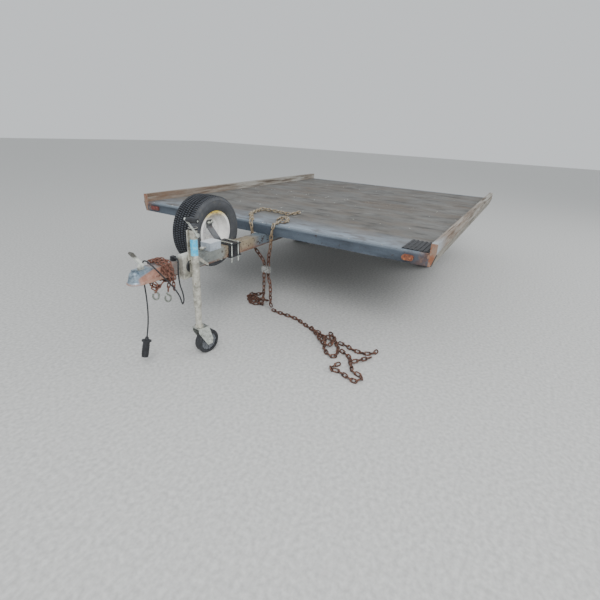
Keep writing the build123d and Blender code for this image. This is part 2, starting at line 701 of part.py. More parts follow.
def make_coupler():
    """A hull over the tongue's end, drawn in to a dome with the ball's socket in it."""
    inner = TONGUE_HALF + COUPLER_FIT
    outer = inner + COUPLER_WALL
    bottom = TONGUE_BOTTOM + COUPLER_LIFT
    neck = BALL_R + SOCKET_WALL
    room = neck - COUPLER_WALL
    turn = COUPLER_TAPER_X + COUPLER_HOLLOW_LAG
    hull = plate([(COUPLER_REAR, outer, bottom), (COUPLER_TAPER_X, outer, bottom), (BALL_X, neck, bottom),
                  (BALL_X, -neck, bottom), (COUPLER_TAPER_X, -outer, bottom), (COUPLER_REAR, -outer, bottom)],
                 UP, COUPLER_ROOF - bottom)
    hollow = plate([(COUPLER_REAR, inner, bottom), (turn, inner, bottom), (BALL_X, room, bottom),
                    (BALL_X, -room, bottom), (turn, -inner, bottom), (COUPLER_REAR, -inner, bottom)],
                   UP, COUPLER_ROOF - COUPLER_WALL - bottom)
    crown = BALL_Z + BALL_R + SOCKET_WALL
    steps = [(neck + dr, BALL_Z + dz) for dr, dz in DOME_STEPS]
    dome = spin_z([(0, SKIRT_BOTTOM), (SKIRT_R, SKIRT_BOTTOM), (SKIRT_R, SKIRT_BOTTOM + SKIRT_EDGE),
                   (neck + SKIRT_SHOULDER, SKIRT_BOTTOM + SKIRT_SLOPE), *steps, (neck - DOME_FLAT, crown),
                   (0, crown)], BALL_X, 0)
    socket_r = BALL_R + BALL_CLEARANCE
    socket = Pos(BALL_X, 0, BALL_Z) * Sphere(socket_r)
    mouth = rod((BALL_X, 0, SKIRT_BOTTOM - THROUGH), (BALL_X, 0, BALL_Z), socket_r)
    put("coupler", (hull - hollow) + dome - socket - mouth)


def make_latch():
    half = LATCH_WIDTH / 2
    (fx, fz), (tx, tz) = LATCH_FOOT, LATCH_TIP
    lever = [(fx, fz), (fx + LATCH_DEPTH, fz - LATCH_DEPTH), (tx + LATCH_TIP_DEPTH, tz - LATCH_TIP_DEPTH),
             (tx, tz), (tx - LATCH_LIP, tz)]
    post = ([(fx + dx, COUPLER_ROOF + dz) for dx, dz in LATCH_POST_OUTLINE]
            + [(fx + dx, fz + dz) for dx, dz in LATCH_POST_TOP])
    inset = LATCH_POST_INSET
    put("coupler_latch", fuse(side_plate(lever, -half, half), side_plate(post, -half + inset, half - inset)))


def make_stub_box():
    z0, z1 = TONGUE_TOP, TONGUE_TOP + STUB_HEIGHT
    half = STUB_WIDTH / 2
    rear = STUB_FRONT - STUB_LENGTH
    w = STUB_WALL
    body = block(rear, STUB_FRONT, -half, half, z0, z1)
    put("stub_box", body - block(rear, STUB_FRONT - w, -half + w, half - w, z0, z1 - w))
    z = z0 + PIN_HEIGHT_SHARE * STUB_HEIGHT
    stem = rod((STUB_FRONT, 0, z), (STUB_FRONT + PIN_LENGTH, 0, z), PIN_R)
    put("pull_pin", stem + rod((STUB_FRONT + KNOB_START, 0, z), (STUB_FRONT + KNOB_END, 0, z), KNOB_R))


# Spare wheel carrier

def u_legs():
    """Y of the far and the near legs of the U-bolts, the near ones outside the flange."""
    return -TONGUE_HALF - U_BOLT_R, TONGUE_HALF + CLAMP_FLANGE + U_BOLT_R


def make_u_bolts():
    bolts = []
    far, near = u_legs()
    top = TONGUE_TOP + CLAMP_WALL + U_BOLT_R
    low = TONGUE_BOTTOM - U_BOLT_TAIL
    nut = TONGUE_BOTTOM - CLAMP_WALL
    for x in U_BOLT_STATIONS:
        legs = [rod((x, y, low), (x, y, top), U_BOLT_R) for y in (far, near)]
        corners = [Pos(x, y, top) * Sphere(U_BOLT_R) for y in (far, near)]
        nuts = [rod((x, y, nut - U_NUT_HEIGHT), (x, y, nut), U_NUT_R) for y in (far, near)]
        bolts.append(fuse(rod((x, far, top), (x, near, top), U_BOLT_R), *legs, *corners, *nuts))
    put("u_bolts", *bolts)


def make_carrier():
    x0, x1 = U_BOLT_STATIONS[0] - CLAMP_END_GAP, U_BOLT_STATIONS[1] + CLAMP_END_GAP
    far, near = u_legs()
    z0, z1 = TONGUE_TOP, TONGUE_TOP + CLAMP_WALL
    low0 = TONGUE_BOTTOM - CLAMP_WALL
    top = block(x0, x1, -CLAMP_REACH_Y, near + CLAMP_SIDE, z0, z1)
    low = block(x0, x1, far - CLAMP_SIDE, near + CLAMP_SIDE, low0, TONGUE_BOTTOM)
    for x in U_BOLT_STATIONS:
        for y in (far, near):
            hole = rod((x, y, low0 - THROUGH), (x, y, z1 + THROUGH), U_BOLT_R)
            top, low = top - hole, low - hole
    flange = block(x0, x1, TONGUE_HALF, TONGUE_HALF + CLAMP_FLANGE, TONGUE_BOTTOM, z0)
    y_disc = SPARE_Y + SPARE_DISC_OFFSET + RIM_DISC_THICKNESS
    z_bend = TONGUE_TOP + ARM_BEND
    tip = SPARE_Z + LUG_CIRCLE_R + ARM_TIP
    foot = -CLAMP_REACH_Y + CLAMP_WALL
    outline = [(foot, z1), (foot, z1 + ARM_WALL), (y_disc + CLAMP_WALL, z_bend), (y_disc + CLAMP_WALL, tip),
               (y_disc, tip), (y_disc, z_bend - ARM_WALL), (foot - CLAMP_WALL, z1)]
    arm = plate([(SPARE_X - ARM_WIDTH / 2, y, z) for y, z in outline], AHEAD, ARM_WIDTH)
    put("carrier_clamp", low)
    put("carrier_arm", fuse(top, flange, arm))


# Swivel jack

def make_jack_bracket():
    """A hat section welded to the side of the tongue, with the ring that the jack swings on."""
    w = BRACKET_WALL
    x0, x1 = JACK_X - BRACKET_REAR, JACK_X + BRACKET_FRONT
    y0, y1 = TONGUE_HALF, TONGUE_HALF + BRACKET_DEPTH
    z0, z1 = TONGUE_BOTTOM - BRACKET_DROP, TONGUE_TOP + BRACKET_RISE
    hat = block(x0, x1, y0, y1, z0, z1) - block(x0 + w, x1 - w, y0, y1 - w, z0, z1 - w)
    ring = rod((JACK_X, y1, JACK_PIVOT_Z), (JACK_X, y1 + JACK_RING_DEPTH, JACK_PIVOT_Z), JACK_RING_R)
    stud = rod((JACK_X, y1, JACK_PIVOT_Z), (JACK_X, y1 + JACK_STUD_LENGTH, JACK_PIVOT_Z), JACK_STUD_R)
    (hx, hz), (lx, lz) = STRAP_HIGH, STRAP_LOW
    strap = side_plate([(x0, z0 + STRAP_WIDTH), (x0, hz + STRAP_WIDTH), (hx, hz + STRAP_WIDTH),
                        (lx, lz + STRAP_WIDTH), (lx, lz), (hx, hz - STRAP_WIDTH)], y0, y0 + STRAP_WALL)
    put("jack_bracket", fuse(hat, ring, stud, strap))


def make_jack_tube():
    y0 = TONGUE_HALF + BRACKET_DEPTH + JACK_RING_DEPTH + JACK_SWING_GAP
    y1 = JACK_Y - JACK_OUTER_R + JACK_SADDLE
    back = block(JACK_X - JACK_BACK_HALF, JACK_X + JACK_BACK_HALF, y0, y1,
                 JACK_PIVOT_Z - JACK_BACK_HEIGHT, JACK_PIVOT_Z + JACK_BACK_HEIGHT)
    strip = block(JACK_X - JACK_STRIP_REAR, JACK_X + JACK_STRIP_FRONT, y1 - JACK_STRIP_DEPTH, y1,
                  JACK_PIVOT_Z + JACK_STRIP_RISE, JACK_TOP - JACK_TOP_WALL)
    outer = rod((JACK_X, JACK_Y, JACK_OUTER_BOTTOM), (JACK_X, JACK_Y, JACK_TOP), JACK_OUTER_R)
    hollow = rod((JACK_X, JACK_Y, JACK_OUTER_BOTTOM), (JACK_X, JACK_Y, JACK_TOP - JACK_TOP_WALL),
                 JACK_INNER_R + JACK_SLIDE_CLEARANCE)
    cap = rod((JACK_X, JACK_Y, JACK_TOP), (JACK_X, JACK_Y, JACK_TOP + JACK_CAP), JACK_OUTER_R + JACK_CAP_LIP)
    seat = rod((JACK_X, y0, JACK_PIVOT_Z), (JACK_X, y0 + JACK_STUD_POCKET, JACK_PIVOT_Z),
               JACK_STUD_R + JACK_STUD_CLEARANCE)
    put("jack_outer_tube", fuse(back, strip, outer, cap) - hollow - seat)


def make_crank():
    """A boss on the tube, an arm up from it and a pin that carries the grip."""
    z = JACK_TOP - CRANK_DROP
    y0 = JACK_Y + JACK_OUTER_R
    y1 = y0 + CRANK_BOSS
    y_arm = y0 + CRANK_BOSS / 2
    ex = JACK_X + CRANK_ARM * cos(radians(CRANK_ANGLE))
    ez = z + CRANK_ARM * sin(radians(CRANK_ANGLE))
    boss = rod((JACK_X, y0, z), (JACK_X, y1, z), CRANK_BOSS_R)
    arm = rod((JACK_X, y_arm, z), (ex, y_arm, ez), CRANK_ARM_R)
    elbow = Pos(ex, y_arm, ez) * Sphere(CRANK_ELBOW_R)
    pin = rod((ex, y_arm, ez), (ex, y1 + CRANK_GRIP, ez), CRANK_PIN_R)
    put("jack_crank", fuse(boss, arm, elbow, pin))
    grip = rod((ex, y1 + CRANK_GRIP_START, ez), (ex, y1 + CRANK_GRIP - CRANK_GRIP_END, ez), CRANK_GRIP_R)
    put("crank_grip", grip - rod((ex, y1, ez), (ex, y1 + CRANK_GRIP, ez), CRANK_PIN_R))


def make_jack_leg():
    z0 = JACK_FORK_TOP + JACK_LEG_GAP
    body = rod((JACK_X, JACK_Y, z0), (JACK_X, JACK_Y, JACK_INNER_TOP), JACK_INNER_R)
    collar = rod((JACK_X, JACK_Y, z0), (JACK_X, JACK_Y, z0 + JACK_COLLAR_HEIGHT), JACK_INNER_R + JACK_COLLAR)
    hole = rod((JACK_X, JACK_Y, z0 - THROUGH), (JACK_X, JACK_Y, z0 + JACK_KINGPIN),
               JACK_KINGPIN_R + RUNNING_CLEARANCE)
    put("jack_inner_tube", fuse(body, collar) - hole)


def caster_turned(shape):
    """A part of the caster, turned about the jack's own line to where it stands."""
    return Pos(JACK_X, JACK_Y, 0) * Rot(0, 0, CASTER_TURN) * Pos(-JACK_X, -JACK_Y, 0) * shape


def make_jack_caster():
    half = JACK_WHEEL_WIDTH / 2 + JACK_FORK_GAP
    w = JACK_FORK_WALL
    top = JACK_FORK_TOP
    x0, x1 = JACK_X - JACK_FORK_REAR, JACK_X + JACK_FORK_FRONT
    crown = block(x0, x1, JACK_Y - half - w, JACK_Y + half + w, top - w, top)
    kingpin = rod((JACK_X, JACK_Y, top - w), (JACK_X, JACK_Y, top + JACK_KINGPIN), JACK_KINGPIN_R)
    outline = [(x0, top), (x1, top), (x1, top - JACK_FORK_SIDE),
               (JACK_WHEEL_X + CHEEK_HALF, JACK_WHEEL_R - CHEEK_BELOW),
               (JACK_WHEEL_X - CHEEK_HALF, JACK_WHEEL_R - CHEEK_BELOW),
               (JACK_WHEEL_X - CHEEK_REAR, JACK_WHEEL_R + CHEEK_ABOVE)]
    cheeks = [side_plate(outline, *sorted((JACK_Y + side * half, JACK_Y + side * (half + w))))
              for side, word in SIDES]
    reach = half + w + JACK_AXLE_END
    axle = rod((JACK_WHEEL_X, JACK_Y - reach, JACK_WHEEL_R), (JACK_WHEEL_X, JACK_Y + reach, JACK_WHEEL_R),
               JACK_AXLE_R)
    put("jack_fork", caster_turned(fuse(crown, kingpin, axle, *cheeks)))


def make_jack_wheel():
    half = JACK_WHEEL_WIDTH / 2
    r, ri, e = JACK_WHEEL_R, JACK_TREAD_R, JACK_TREAD_EDGE
    tread = [(ri, -half), (r - e, -half), (r, -half + e), (r, half - e), (r - e, half), (ri, half)]
    rubber = spin_y([(a, JACK_Y + b) for a, b in tread], JACK_WHEEL_X, JACK_WHEEL_R)
    put("jack_wheel_tread", caster_turned(rubber))
    bore, hub_r = JACK_AXLE_R + RUNNING_CLEARANCE, JACK_CORE_R
    end, web = half + JACK_CORE_STAND, half - JACK_CORE_INSET
    core = [(bore, -end), (hub_r, -end), (hub_r, -web), (ri, -web), (ri, web), (hub_r, web), (hub_r, end),
            (bore, end)]
    put("jack_wheel_core", caster_turned(spin_y([(a, JACK_Y + b) for a, b in core], JACK_WHEEL_X, JACK_WHEEL_R)))


# Chains

def link(pitch, wire, width):
    """One chain link as a flat square-cornered ring lying in X and Y."""
    opening = pitch + 2 * CHAIN_SLACK
    return Box(opening + 2 * wire, width, wire) - Box(opening, width - 2 * wire, wire)


def along(points, pitch):
    """Places a pitch apart along a route, each with its direction."""
    legs = [(Vector(*a), Vector(*b)) for a, b in zip(points, points[1:])]
    travelled, wanted = 0, pitch / 2
    for a, b in legs:
        length = (b - a).length
        while wanted <= travelled + length:
            yield a + (b - a) * ((wanted - travelled) / length), (b - a).normalized()
            wanted += pitch
        travelled += length


def chain(points, size, facing, roll):
    """Links along a route, each a quarter turn from the one before and none below the ground."""
    one = link(*size)
    for index, (centre, direction) in enumerate(along(points, size[0])):
        side = direction.cross(Vector(*facing)).normalized()
        lift = side.cross(direction)
        turn = radians(roll + 90 * (index % 2))
        laid = Plane(origin=centre, x_dir=direction, z_dir=lift * cos(turn) + side * sin(turn)).location * one
        yield Pos(0, 0, max(0, -laid.bounding_box().min.Z)) * laid


LOCK_SIZE = (CHAIN_PITCH, CHAIN_WIRE, CHAIN_WIDTH)
SAFETY_SIZE = (SAFETY_PITCH, SAFETY_WIRE, SAFETY_WIDTH)
LOCK_LIE = (CHAIN_WIDTH + CHAIN_WIRE) / 2 * sin(radians(LIE_ROLL))
SAFETY_LIE = (SAFETY_WIDTH + SAFETY_WIRE) / 2 * sin(radians(LIE_ROLL))
STRAND_X = CHAIN_WIDTH / 2 + CHAIN_TOUCH


def hanging(points):
    """Route points in front of the channel, given in Y and Z."""
    return [(STRAND_X, y, z) for y, z in points]


def lying(points, floor):
    """A run of rolled links on a level face, given in X and Y."""
    return chain([(x, y, floor + LOCK_LIE) for x, y in points], LOCK_SIZE, UP, LIE_ROLL)


def make_lock_chain():
    """Both strands from the deck's edge down to the ground, and what lies on deck and ground."""
    start = LINK_PART + CHAIN_WIRE + CHAIN_SLACK
    rise = hanging([(PADLOCK_Y, PADLOCK_Z + start), *FRONT_STRAND])
    left = hanging(LEFT_STRAND) + LEFT_LANDING
    heap = lying([LEFT_LANDING[-1][:2], *LEFT_HEAP], 0)
    put("lock_chain_front", *chain(rise, LOCK_SIZE, AHEAD, 0), *chain(left, LOCK_SIZE, AHEAD, 0), *heap,
        *lying(SMALL_HEAP, 0))
    fall = hanging([(PADLOCK_Y, PADLOCK_Z - start), *RIGHT_STRAND]) + RIGHT_LANDING
    runs = [GROUND_STRAND, GROUND_BRANCH, GROUND_TAIL, GROUND_END]
    put("lock_chain_ground", *chain(fall, LOCK_SIZE, AHEAD, 0),
        *[shape for run in runs for shape in lying(run, 0)])
    put("lock_chain_deck", *[shape for run in (DECK_LEFT, DECK_RIGHT) for shape in lying(run, FRAME_TOP)])


def make_padlock():
    """A body in front of the chain, with a shackle through the ends of two links."""
    x0, x1 = PADLOCK_X, PADLOCK_X + PADLOCK_DEPTH
    y, z = PADLOCK_Y, PADLOCK_Z
    half_y, half_z = PADLOCK_WIDTH / 2, PADLOCK_HEIGHT / 2
    spread = LINK_PART + CHAIN_WIRE + SHACKLE_TOUCH + SHACKLE_R
    body = block(x0, x1, y - half_y, y + half_y, z - half_z, z + half_z)
    legs = [rod((SHACKLE_BACK, y, z + s * spread), (x1, y, z + s * spread), SHACKLE_R) for s in (1, -1)]
    bow = block(SHACKLE_BACK - SHACKLE_R, SHACKLE_BACK + SHACKLE_R, y - SHACKLE_R, y + SHACKLE_R,
                z - spread - SHACKLE_R, z + spread + SHACKLE_R)
    put("padlock", fuse(body, *legs, bow))


def make_safety_chain():
    """Two turns round the coupler and a hanging end."""
    y = TONGUE_HALF + COUPLER_FIT + COUPLER_WALL + SAFETY_LIE + CHAIN_TOUCH
    top = COUPLER_ROOF + SAFETY_LIE + CHAIN_TOUCH
    low = TONGUE_BOTTOM - SAFETY_LIE - CHAIN_TOUCH
    route = [(SAFETY_TURNS[0], -y, SAFETY_START)]
    for x in SAFETY_TURNS:
        route += [(x, -y, top), (x, y, top), (x, y, low)]
        route += [(x, -y, low)] if x == SAFETY_TURNS[0] else SAFETY_END
    put("safety_chain", *chain(route, SAFETY_SIZE, AHEAD, LIE_ROLL))


def make_cord():
    """A free cord from a grommet on the coupler, once over it, down to its plug."""
    path = FilletPolyline(*CORD_ROUTE, radius=corner_radii(CORD_ROUTE))
    first = Vector(*CORD_ROUTE[1]) - Vector(*CORD_ROUTE[0])
    tube = sweep(Plane(origin=CORD_ROUTE[0], z_dir=first) * Circle(CORD_D / 2), path=path)
    area = pi * CORD_D ** 2 / 4
    print("cord length", round(path.length), "volume share", round(tube.volume / (area * path.length), 3))
    put("cord_tube", tube)
    x, y, z = CORD_ROUTE[0]
    put("cord_grommet", block(x - GROMMET_HALF, x + GROMMET_HALF, y - GROMMET_DEPTH, y,
                              COUPLER_ROOF, z + GROMMET_RISE))
    end = Vector(*CORD_ROUTE[-1])
    down = (end - Vector(*CORD_ROUTE[-2])).normalized()
    cap = rod(end, end + down * PLUG_CAP_WALL, PLUG_CAP_R)
    put("cord_plug", cap + rod(end + down * PLUG_CAP_WALL, end + down * PLUG_LENGTH, PLUG_R))


def corner_radii(points):
    """Each arc takes a share of its shorter run, over the tangent of half the turn."""
    radii = []
    for a, b, c in zip(points, points[1:], points[2:]):
        before, after = Vector(*b) - Vector(*a), Vector(*c) - Vector(*b)
        half_turn = radians(before.get_angle(after)) / 2
        radii.append(CORD_CORNER_SHARE * min(before.length, after.length) / tan(half_turn))
    print("cord radii", [round(r) for r in radii])
    return radii


def make_all():
    make_bed()
    make_lamps()
    make_pivot()
    make_axle()
    make_springs()
    make_wheels()
    make_tongue()
    make_coupler()
    make_latch()
    make_stub_box()
    make_u_bolts()
    make_carrier()
    make_jack_bracket()
    make_jack_tube()
    make_crank()
    make_jack_leg()
    make_jack_caster()
    make_jack_wheel()
    make_lock_chain()
    make_padlock()
    make_safety_chain()
    make_cord()


make_all()
os.makedirs("parts", exist_ok=True)
for node_name, shape in nodes.items():
    export_step(shape, f"parts/{node_name}.step")
links = sum(len(nodes[name].solids()) for name in nodes if "chain" in name)
print(len(nodes), "sub-parts,", links, "chain links")
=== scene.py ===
# %% [markdown]
# # A tilt-bed snowmobile trailer
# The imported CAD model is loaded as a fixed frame: every piece that is made here has to fit it. Everything
# is in metres, X forward to the coupler, Y to the trailer's left, Z up from the ground.

# %% Load the frame
import json
import random
from math import cos, pi, radians, sin

import bpy
from mathutils import Matrix, Vector


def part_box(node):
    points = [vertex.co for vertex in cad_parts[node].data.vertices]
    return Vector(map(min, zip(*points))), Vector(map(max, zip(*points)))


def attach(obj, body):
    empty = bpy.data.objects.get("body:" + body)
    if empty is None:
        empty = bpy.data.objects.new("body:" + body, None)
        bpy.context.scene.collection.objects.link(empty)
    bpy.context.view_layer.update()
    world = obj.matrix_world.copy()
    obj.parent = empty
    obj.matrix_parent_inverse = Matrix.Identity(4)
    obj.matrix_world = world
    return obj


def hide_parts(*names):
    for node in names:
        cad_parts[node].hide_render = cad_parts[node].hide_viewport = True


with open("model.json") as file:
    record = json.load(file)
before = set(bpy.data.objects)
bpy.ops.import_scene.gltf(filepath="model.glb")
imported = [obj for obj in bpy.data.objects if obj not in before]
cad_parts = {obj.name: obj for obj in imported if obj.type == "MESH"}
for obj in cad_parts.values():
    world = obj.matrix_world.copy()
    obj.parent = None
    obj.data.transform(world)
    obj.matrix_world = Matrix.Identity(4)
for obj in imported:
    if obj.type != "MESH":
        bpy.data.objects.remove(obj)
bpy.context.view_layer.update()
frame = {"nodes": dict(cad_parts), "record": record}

BED_X = 0.9695   # the front face of the bed, counted from the middle of the trailer

# %% [markdown]
# ## Camera
# The view was worked out from the photo: a wide lens near the coupler, a little above the height of the
# deck and tilted down. A camera looks along its own -Z, so the matrix's columns are right, up and back.

# %% Camera
PHOTO_PX = 600
FOCAL_PX = 382.08
SENSOR_MM = 36
YAW, PITCH, ROLL = radians(209.31), radians(23.60), radians(-3.07)
CAMERA_AT = (BED_X + 2.270, 1.637, 1.298)
NEAREST_SEEN = 0.05

forward = Vector((cos(YAW) * cos(PITCH), sin(YAW) * cos(PITCH), -sin(PITCH)))
level_right = forward.cross(Vector((0, 0, 1))).normalized()
level_down = forward.cross(level_right)
right = level_right * cos(ROLL) + level_down * sin(ROLL)
down = level_down * cos(ROLL) - level_right * sin(ROLL)

camera_data = bpy.data.cameras.new("photo_camera")
camera_data.sensor_width = SENSOR_MM
camera_data.lens = FOCAL_PX / PHOTO_PX * SENSOR_MM
camera_data.clip_start = NEAREST_SEEN
camera = bpy.data.objects.new("photo_camera", camera_data)
bpy.context.collection.objects.link(camera)
turn = Matrix((right, -down, -forward)).transposed().to_4x4()
camera.matrix_world = Matrix.Translation(CAMERA_AT) @ turn
bpy.context.scene.camera = camera
print("lens", round(camera_data.lens, 2), "mm")

# %% [markdown]
# ## How a finish is made
# Every finish is a small tree of shader nodes. `add` puts one node in a material and sets or links its
# inputs. `surface` builds what the finishes share: a base colour, then layers that lie on it in patches.
# A layer is a noise that is cut off at a threshold, so the threshold sets how much it covers and the noise's
# scale sets how large its patches are. Positions are read in object coordinates, which are metres here, so a
# patch of 20 mm is 20 mm on every piece.

# %% Colour and node helpers
GRAIN_DETAIL, GRAIN_LOW, GRAIN_HIGH = 4, 0.3, 0.7
PATCH_DETAIL, PATCH_ROUGHNESS = 6, 0.62
NOISE_TOP, NOISE_SPAN = 0.72, 0.44   # nearly all of the noise lies in this span below its top
LAYER_SHIFT_X, LAYER_SHIFT_Y, LAYER_SHIFT_Z = 3.1, 1.7, 0.4   # each layer reads another part of the noise


def colour(code):
    """A hex colour as the eye sees it, turned into the linear values that shaders use."""
    values = [int(code[i:i + 2], 16) / 255 for i in (1, 3, 5)]
    return [v / 12.92 if v <= 0.04045 else ((v + 0.055) / 1.055) ** 2.4 for v in values] + [1]


def add(mat, kind, inputs=None, **settings):
    """Adds one node. An input takes a value, or the output socket of another node."""
    node = mat.node_tree.nodes.new(kind)
    for name, value in settings.items():
        setattr(node, name, value)
    for name, value in (inputs or {}).items():
        if isinstance(value, bpy.types.NodeSocket):
            mat.node_tree.links.new(value, node.inputs[name])
        else:
            node.inputs[name].default_value = value
    return node


def layer(code, size, cover, soft=0.06, rough=None, metal=0.0, stretch=(1, 1, 1), near=()):
    """What lies in patches on a surface: its colour, patch size in metres and share of the surface.

    An entry of near keeps it to a place: an axis, where the layer fades out, and where it is full.
    """
    return dict(code=code, size=size, cover=cover, soft=soft, rough=rough, metal=metal,
                stretch=stretch, near=near)


def surface(name, code, rough, metal=0.0, ior=1.5, layers=(), grain=0.004, bump=0.0003, stretch=(1, 1, 1),
            coat=0.0, contrast=0.15):
    """A finish made of a base colour, patches on it and a fine grain in the surface.

    The mix node has sockets 2 and 3 for two values, and 6 and 7 for two colours.
    """
    mat = bpy.data.materials.new(name)
    mat.use_nodes = True
    shader = mat.node_tree.nodes["Principled BSDF"]
    shader.inputs["IOR"].default_value = ior
    where = add(mat, "ShaderNodeTexCoord").outputs["Object"]
    split = add(mat, "ShaderNodeSeparateXYZ", {"Vector": where})
    fine = add(mat, "ShaderNodeVectorMath", {0: where, 1: stretch}, operation="MULTIPLY").outputs[0]
    fine = add(mat, "ShaderNodeTexNoise", {"Vector": fine, "Scale": 1 / grain,
                                           "Detail": GRAIN_DETAIL}).outputs["Fac"]
    shade = add(mat, "ShaderNodeMapRange", {"Value": fine, "From Min": GRAIN_LOW, "From Max": GRAIN_HIGH,
                                            "To Min": 1 - contrast, "To Max": 1 + contrast}).outputs[0]
    tint, dull, shine = colour(code), rough, metal
    for index, one in enumerate(layers):
        elsewhere = (index * LAYER_SHIFT_X, index * LAYER_SHIFT_Y, LAYER_SHIFT_Z)
        drawn = add(mat, "ShaderNodeVectorMath", {0: where, 1: one["stretch"]}, operation="MULTIPLY")
        place = add(mat, "ShaderNodeVectorMath", {0: drawn.outputs[0], 1: elsewhere}).outputs[0]
        patches = add(mat, "ShaderNodeTexNoise", {
            "Vector": place, "Scale": 0.5 / one["size"], "Detail": PATCH_DETAIL,
            "Roughness": PATCH_ROUGHNESS}).outputs["Fac"]
        edge = NOISE_TOP - NOISE_SPAN * one["cover"]
        mask = add(mat, "ShaderNodeMapRange", {"Value": patches, "From Min": edge - one["soft"],
                                               "From Max": edge + one["soft"]}).outputs[0]
        for axis, start, end in one["near"]:
            if isinstance(axis, tuple):
                along = add(mat, "ShaderNodeVectorMath", {0: where, 1: axis}, operation="DOT_PRODUCT")
                reach = along.outputs["Value"]
            else:
                reach = split.outputs[axis.strip("|")]
            if "|" in axis:
                reach = add(mat, "ShaderNodeMath", {0: reach}, operation="ABSOLUTE").outputs[0]
            fade = add(mat, "ShaderNodeMapRange", {"Value": reach, "From Min": start, "From Max": end})
            mask = add(mat, "ShaderNodeMath", {0: mask, 1: fade.outputs[0]}, operation="MULTIPLY").outputs[0]
        mixed = add(mat, "ShaderNodeMix", {0: mask, 6: tint, 7: colour(one["code"])}, data_type="RGBA")
        tint = mixed.outputs[2]
        if one["rough"] is not None:
            dull = add(mat, "ShaderNodeMix", {0: mask, 2: dull, 3: one["rough"]}).outputs[0]
            shine = add(mat, "ShaderNodeMix", {0: mask, 2: shine, 3: one["metal"]}).outputs[0]
    toned = add(mat, "ShaderNodeMix", {0: 1.0, 6: tint, 7: shade}, data_type="RGBA", blend_type="MULTIPLY")
    height = add(mat, "ShaderNodeBump", {"Height": fine, "Distance": bump, "Strength": 1.0})
    for socket, value in (("Base Color", toned.outputs[2]), ("Roughness", dull), ("Metallic", shine),
                          ("Normal", height.outputs[0]), ("Coat Weight", coat)):
        if isinstance(value, bpy.types.NodeSocket):
            mat.node_tree.links.new(value, shader.inputs[socket])
        else:
            shader.inputs[socket].default_value = value
    return mat


# %% [markdown]
# ## Paint, timber and metal
# Each finish starts from what the real one is. Weathered paint is a dull dielectric with chips of rust,
# galvanised steel is a rough grey metal with zinc spangle, and old rust isn't shiny at all. The bed's paint
# is rusty only near its ends, so that layer fades in with the distance from the middle.

# %% Finishes of the bed
RUST, DEEP_RUST = "#60443a", "#3d2922"
FRONT = BED_X   # places along X are counted from the bed's front
FINISH = {}

# Dark blue-grey frame enamel, brushed on: chalky, with painted light along its top edge, rusty only at its
# ends.
FINISH["frame_paint"] = surface("chalky_blue_grey_enamel", "#414a55", 0.6, layers=[
    layer("#56616d", 0.05, 0.42, soft=0.16, stretch=(1, 0.25, 1)),
    layer("#2a3038", 0.08, 0.32, soft=0.1, stretch=(1, 0.3, 1)),
    # Painted light: the top edge and the top flange are paler, as where they face the sky.
    layer("#77828d", 0.05, 0.9, soft=0.2, near=[("Z", 0.664, 0.676)], stretch=(1, 0.3, 1)),
    layer(DEEP_RUST, 0.008, 0.14, soft=0.04, rough=0.85),
    layer(RUST, 0.03, 0.50, soft=0.10, rough=0.88, near=[("|Y|", 1.08, 1.22)]),
    layer("#9a7a63", 0.012, 0.34, soft=0.06, rough=0.88, near=[("|Y|", 1.15, 1.22)])])

# Plywood under worn grey deck paint: streaks run across the bed, bare wood and dirt show where feet rubbed,
# and the strip along the front edge is painted light, a pale blue grey brighter than the rest of the deck.
FINISH["deck_plywood"] = surface("worn_grey_deck_paint_on_plywood", "#6d6d6c", 0.8, layers=[
    layer("#807f7b", 0.16, 0.5, soft=0.2, stretch=(1, 0.45, 1)),
    layer("#5c5b58", 0.09, 0.42, soft=0.18, stretch=(1, 0.35, 1)),
    layer("#6a5f54", 0.10, 0.30, soft=0.16, stretch=(1, 0.5, 1)),
    layer("#403e3b", 0.05, 0.22, soft=0.12, stretch=(1, 0.4, 1)),
    # Painted light: the pale blue-grey strip along the front edge.
    layer("#8d99a6", 0.10, 0.86, soft=0.2, stretch=(1, 0.4, 1), near=[("X", FRONT - 0.34, FRONT - 0.06)]),
    layer("#584e45", 0.05, 0.36, soft=0.1, stretch=(1, 0.5, 1), near=[("X", FRONT - 0.3, FRONT - 0.1)])],
    grain=0.006, bump=0.0006, stretch=(1, 0.2, 1))

# Timber gone grey in the weather, its grain along the board, browner toward the front, paint left on its end.
FINISH["weathered_timber"] = surface("weathered_softwood", "#948b80", 0.88, layers=[
    layer("#776d62", 0.03, 0.5, soft=0.15, stretch=(0.1, 1, 1)),
    layer("#adaba4", 0.02, 0.46, soft=0.1, stretch=(0.08, 1, 1)),
    layer("#574d43", 0.012, 0.32, soft=0.05, stretch=(0.05, 1, 1)),
    layer("#7c6350", 0.08, 0.58, soft=0.15, stretch=(0.3, 1, 1), near=[("X", FRONT - 1.5, FRONT - 0.1)]),
    layer("#a3a9ad", 0.05, 0.7, soft=0.15, stretch=(0.3, 1, 1),
          near=[("X", FRONT - 0.30, FRONT - 0.04), ("Y", 1.0, 1.2)]),
    layer("#927a6b", 0.05, 1.0, soft=0.15, near=[("X", FRONT - 0.012, FRONT - 0.002)]),
    layer("#8f5d44", 0.018, 0.34, soft=0.08, near=[("X", FRONT - 0.012, FRONT - 0.002)])],
    grain=0.003, bump=0.0008, stretch=(0.06, 1, 1))
print("the bed's finishes:", ", ".join(FINISH))

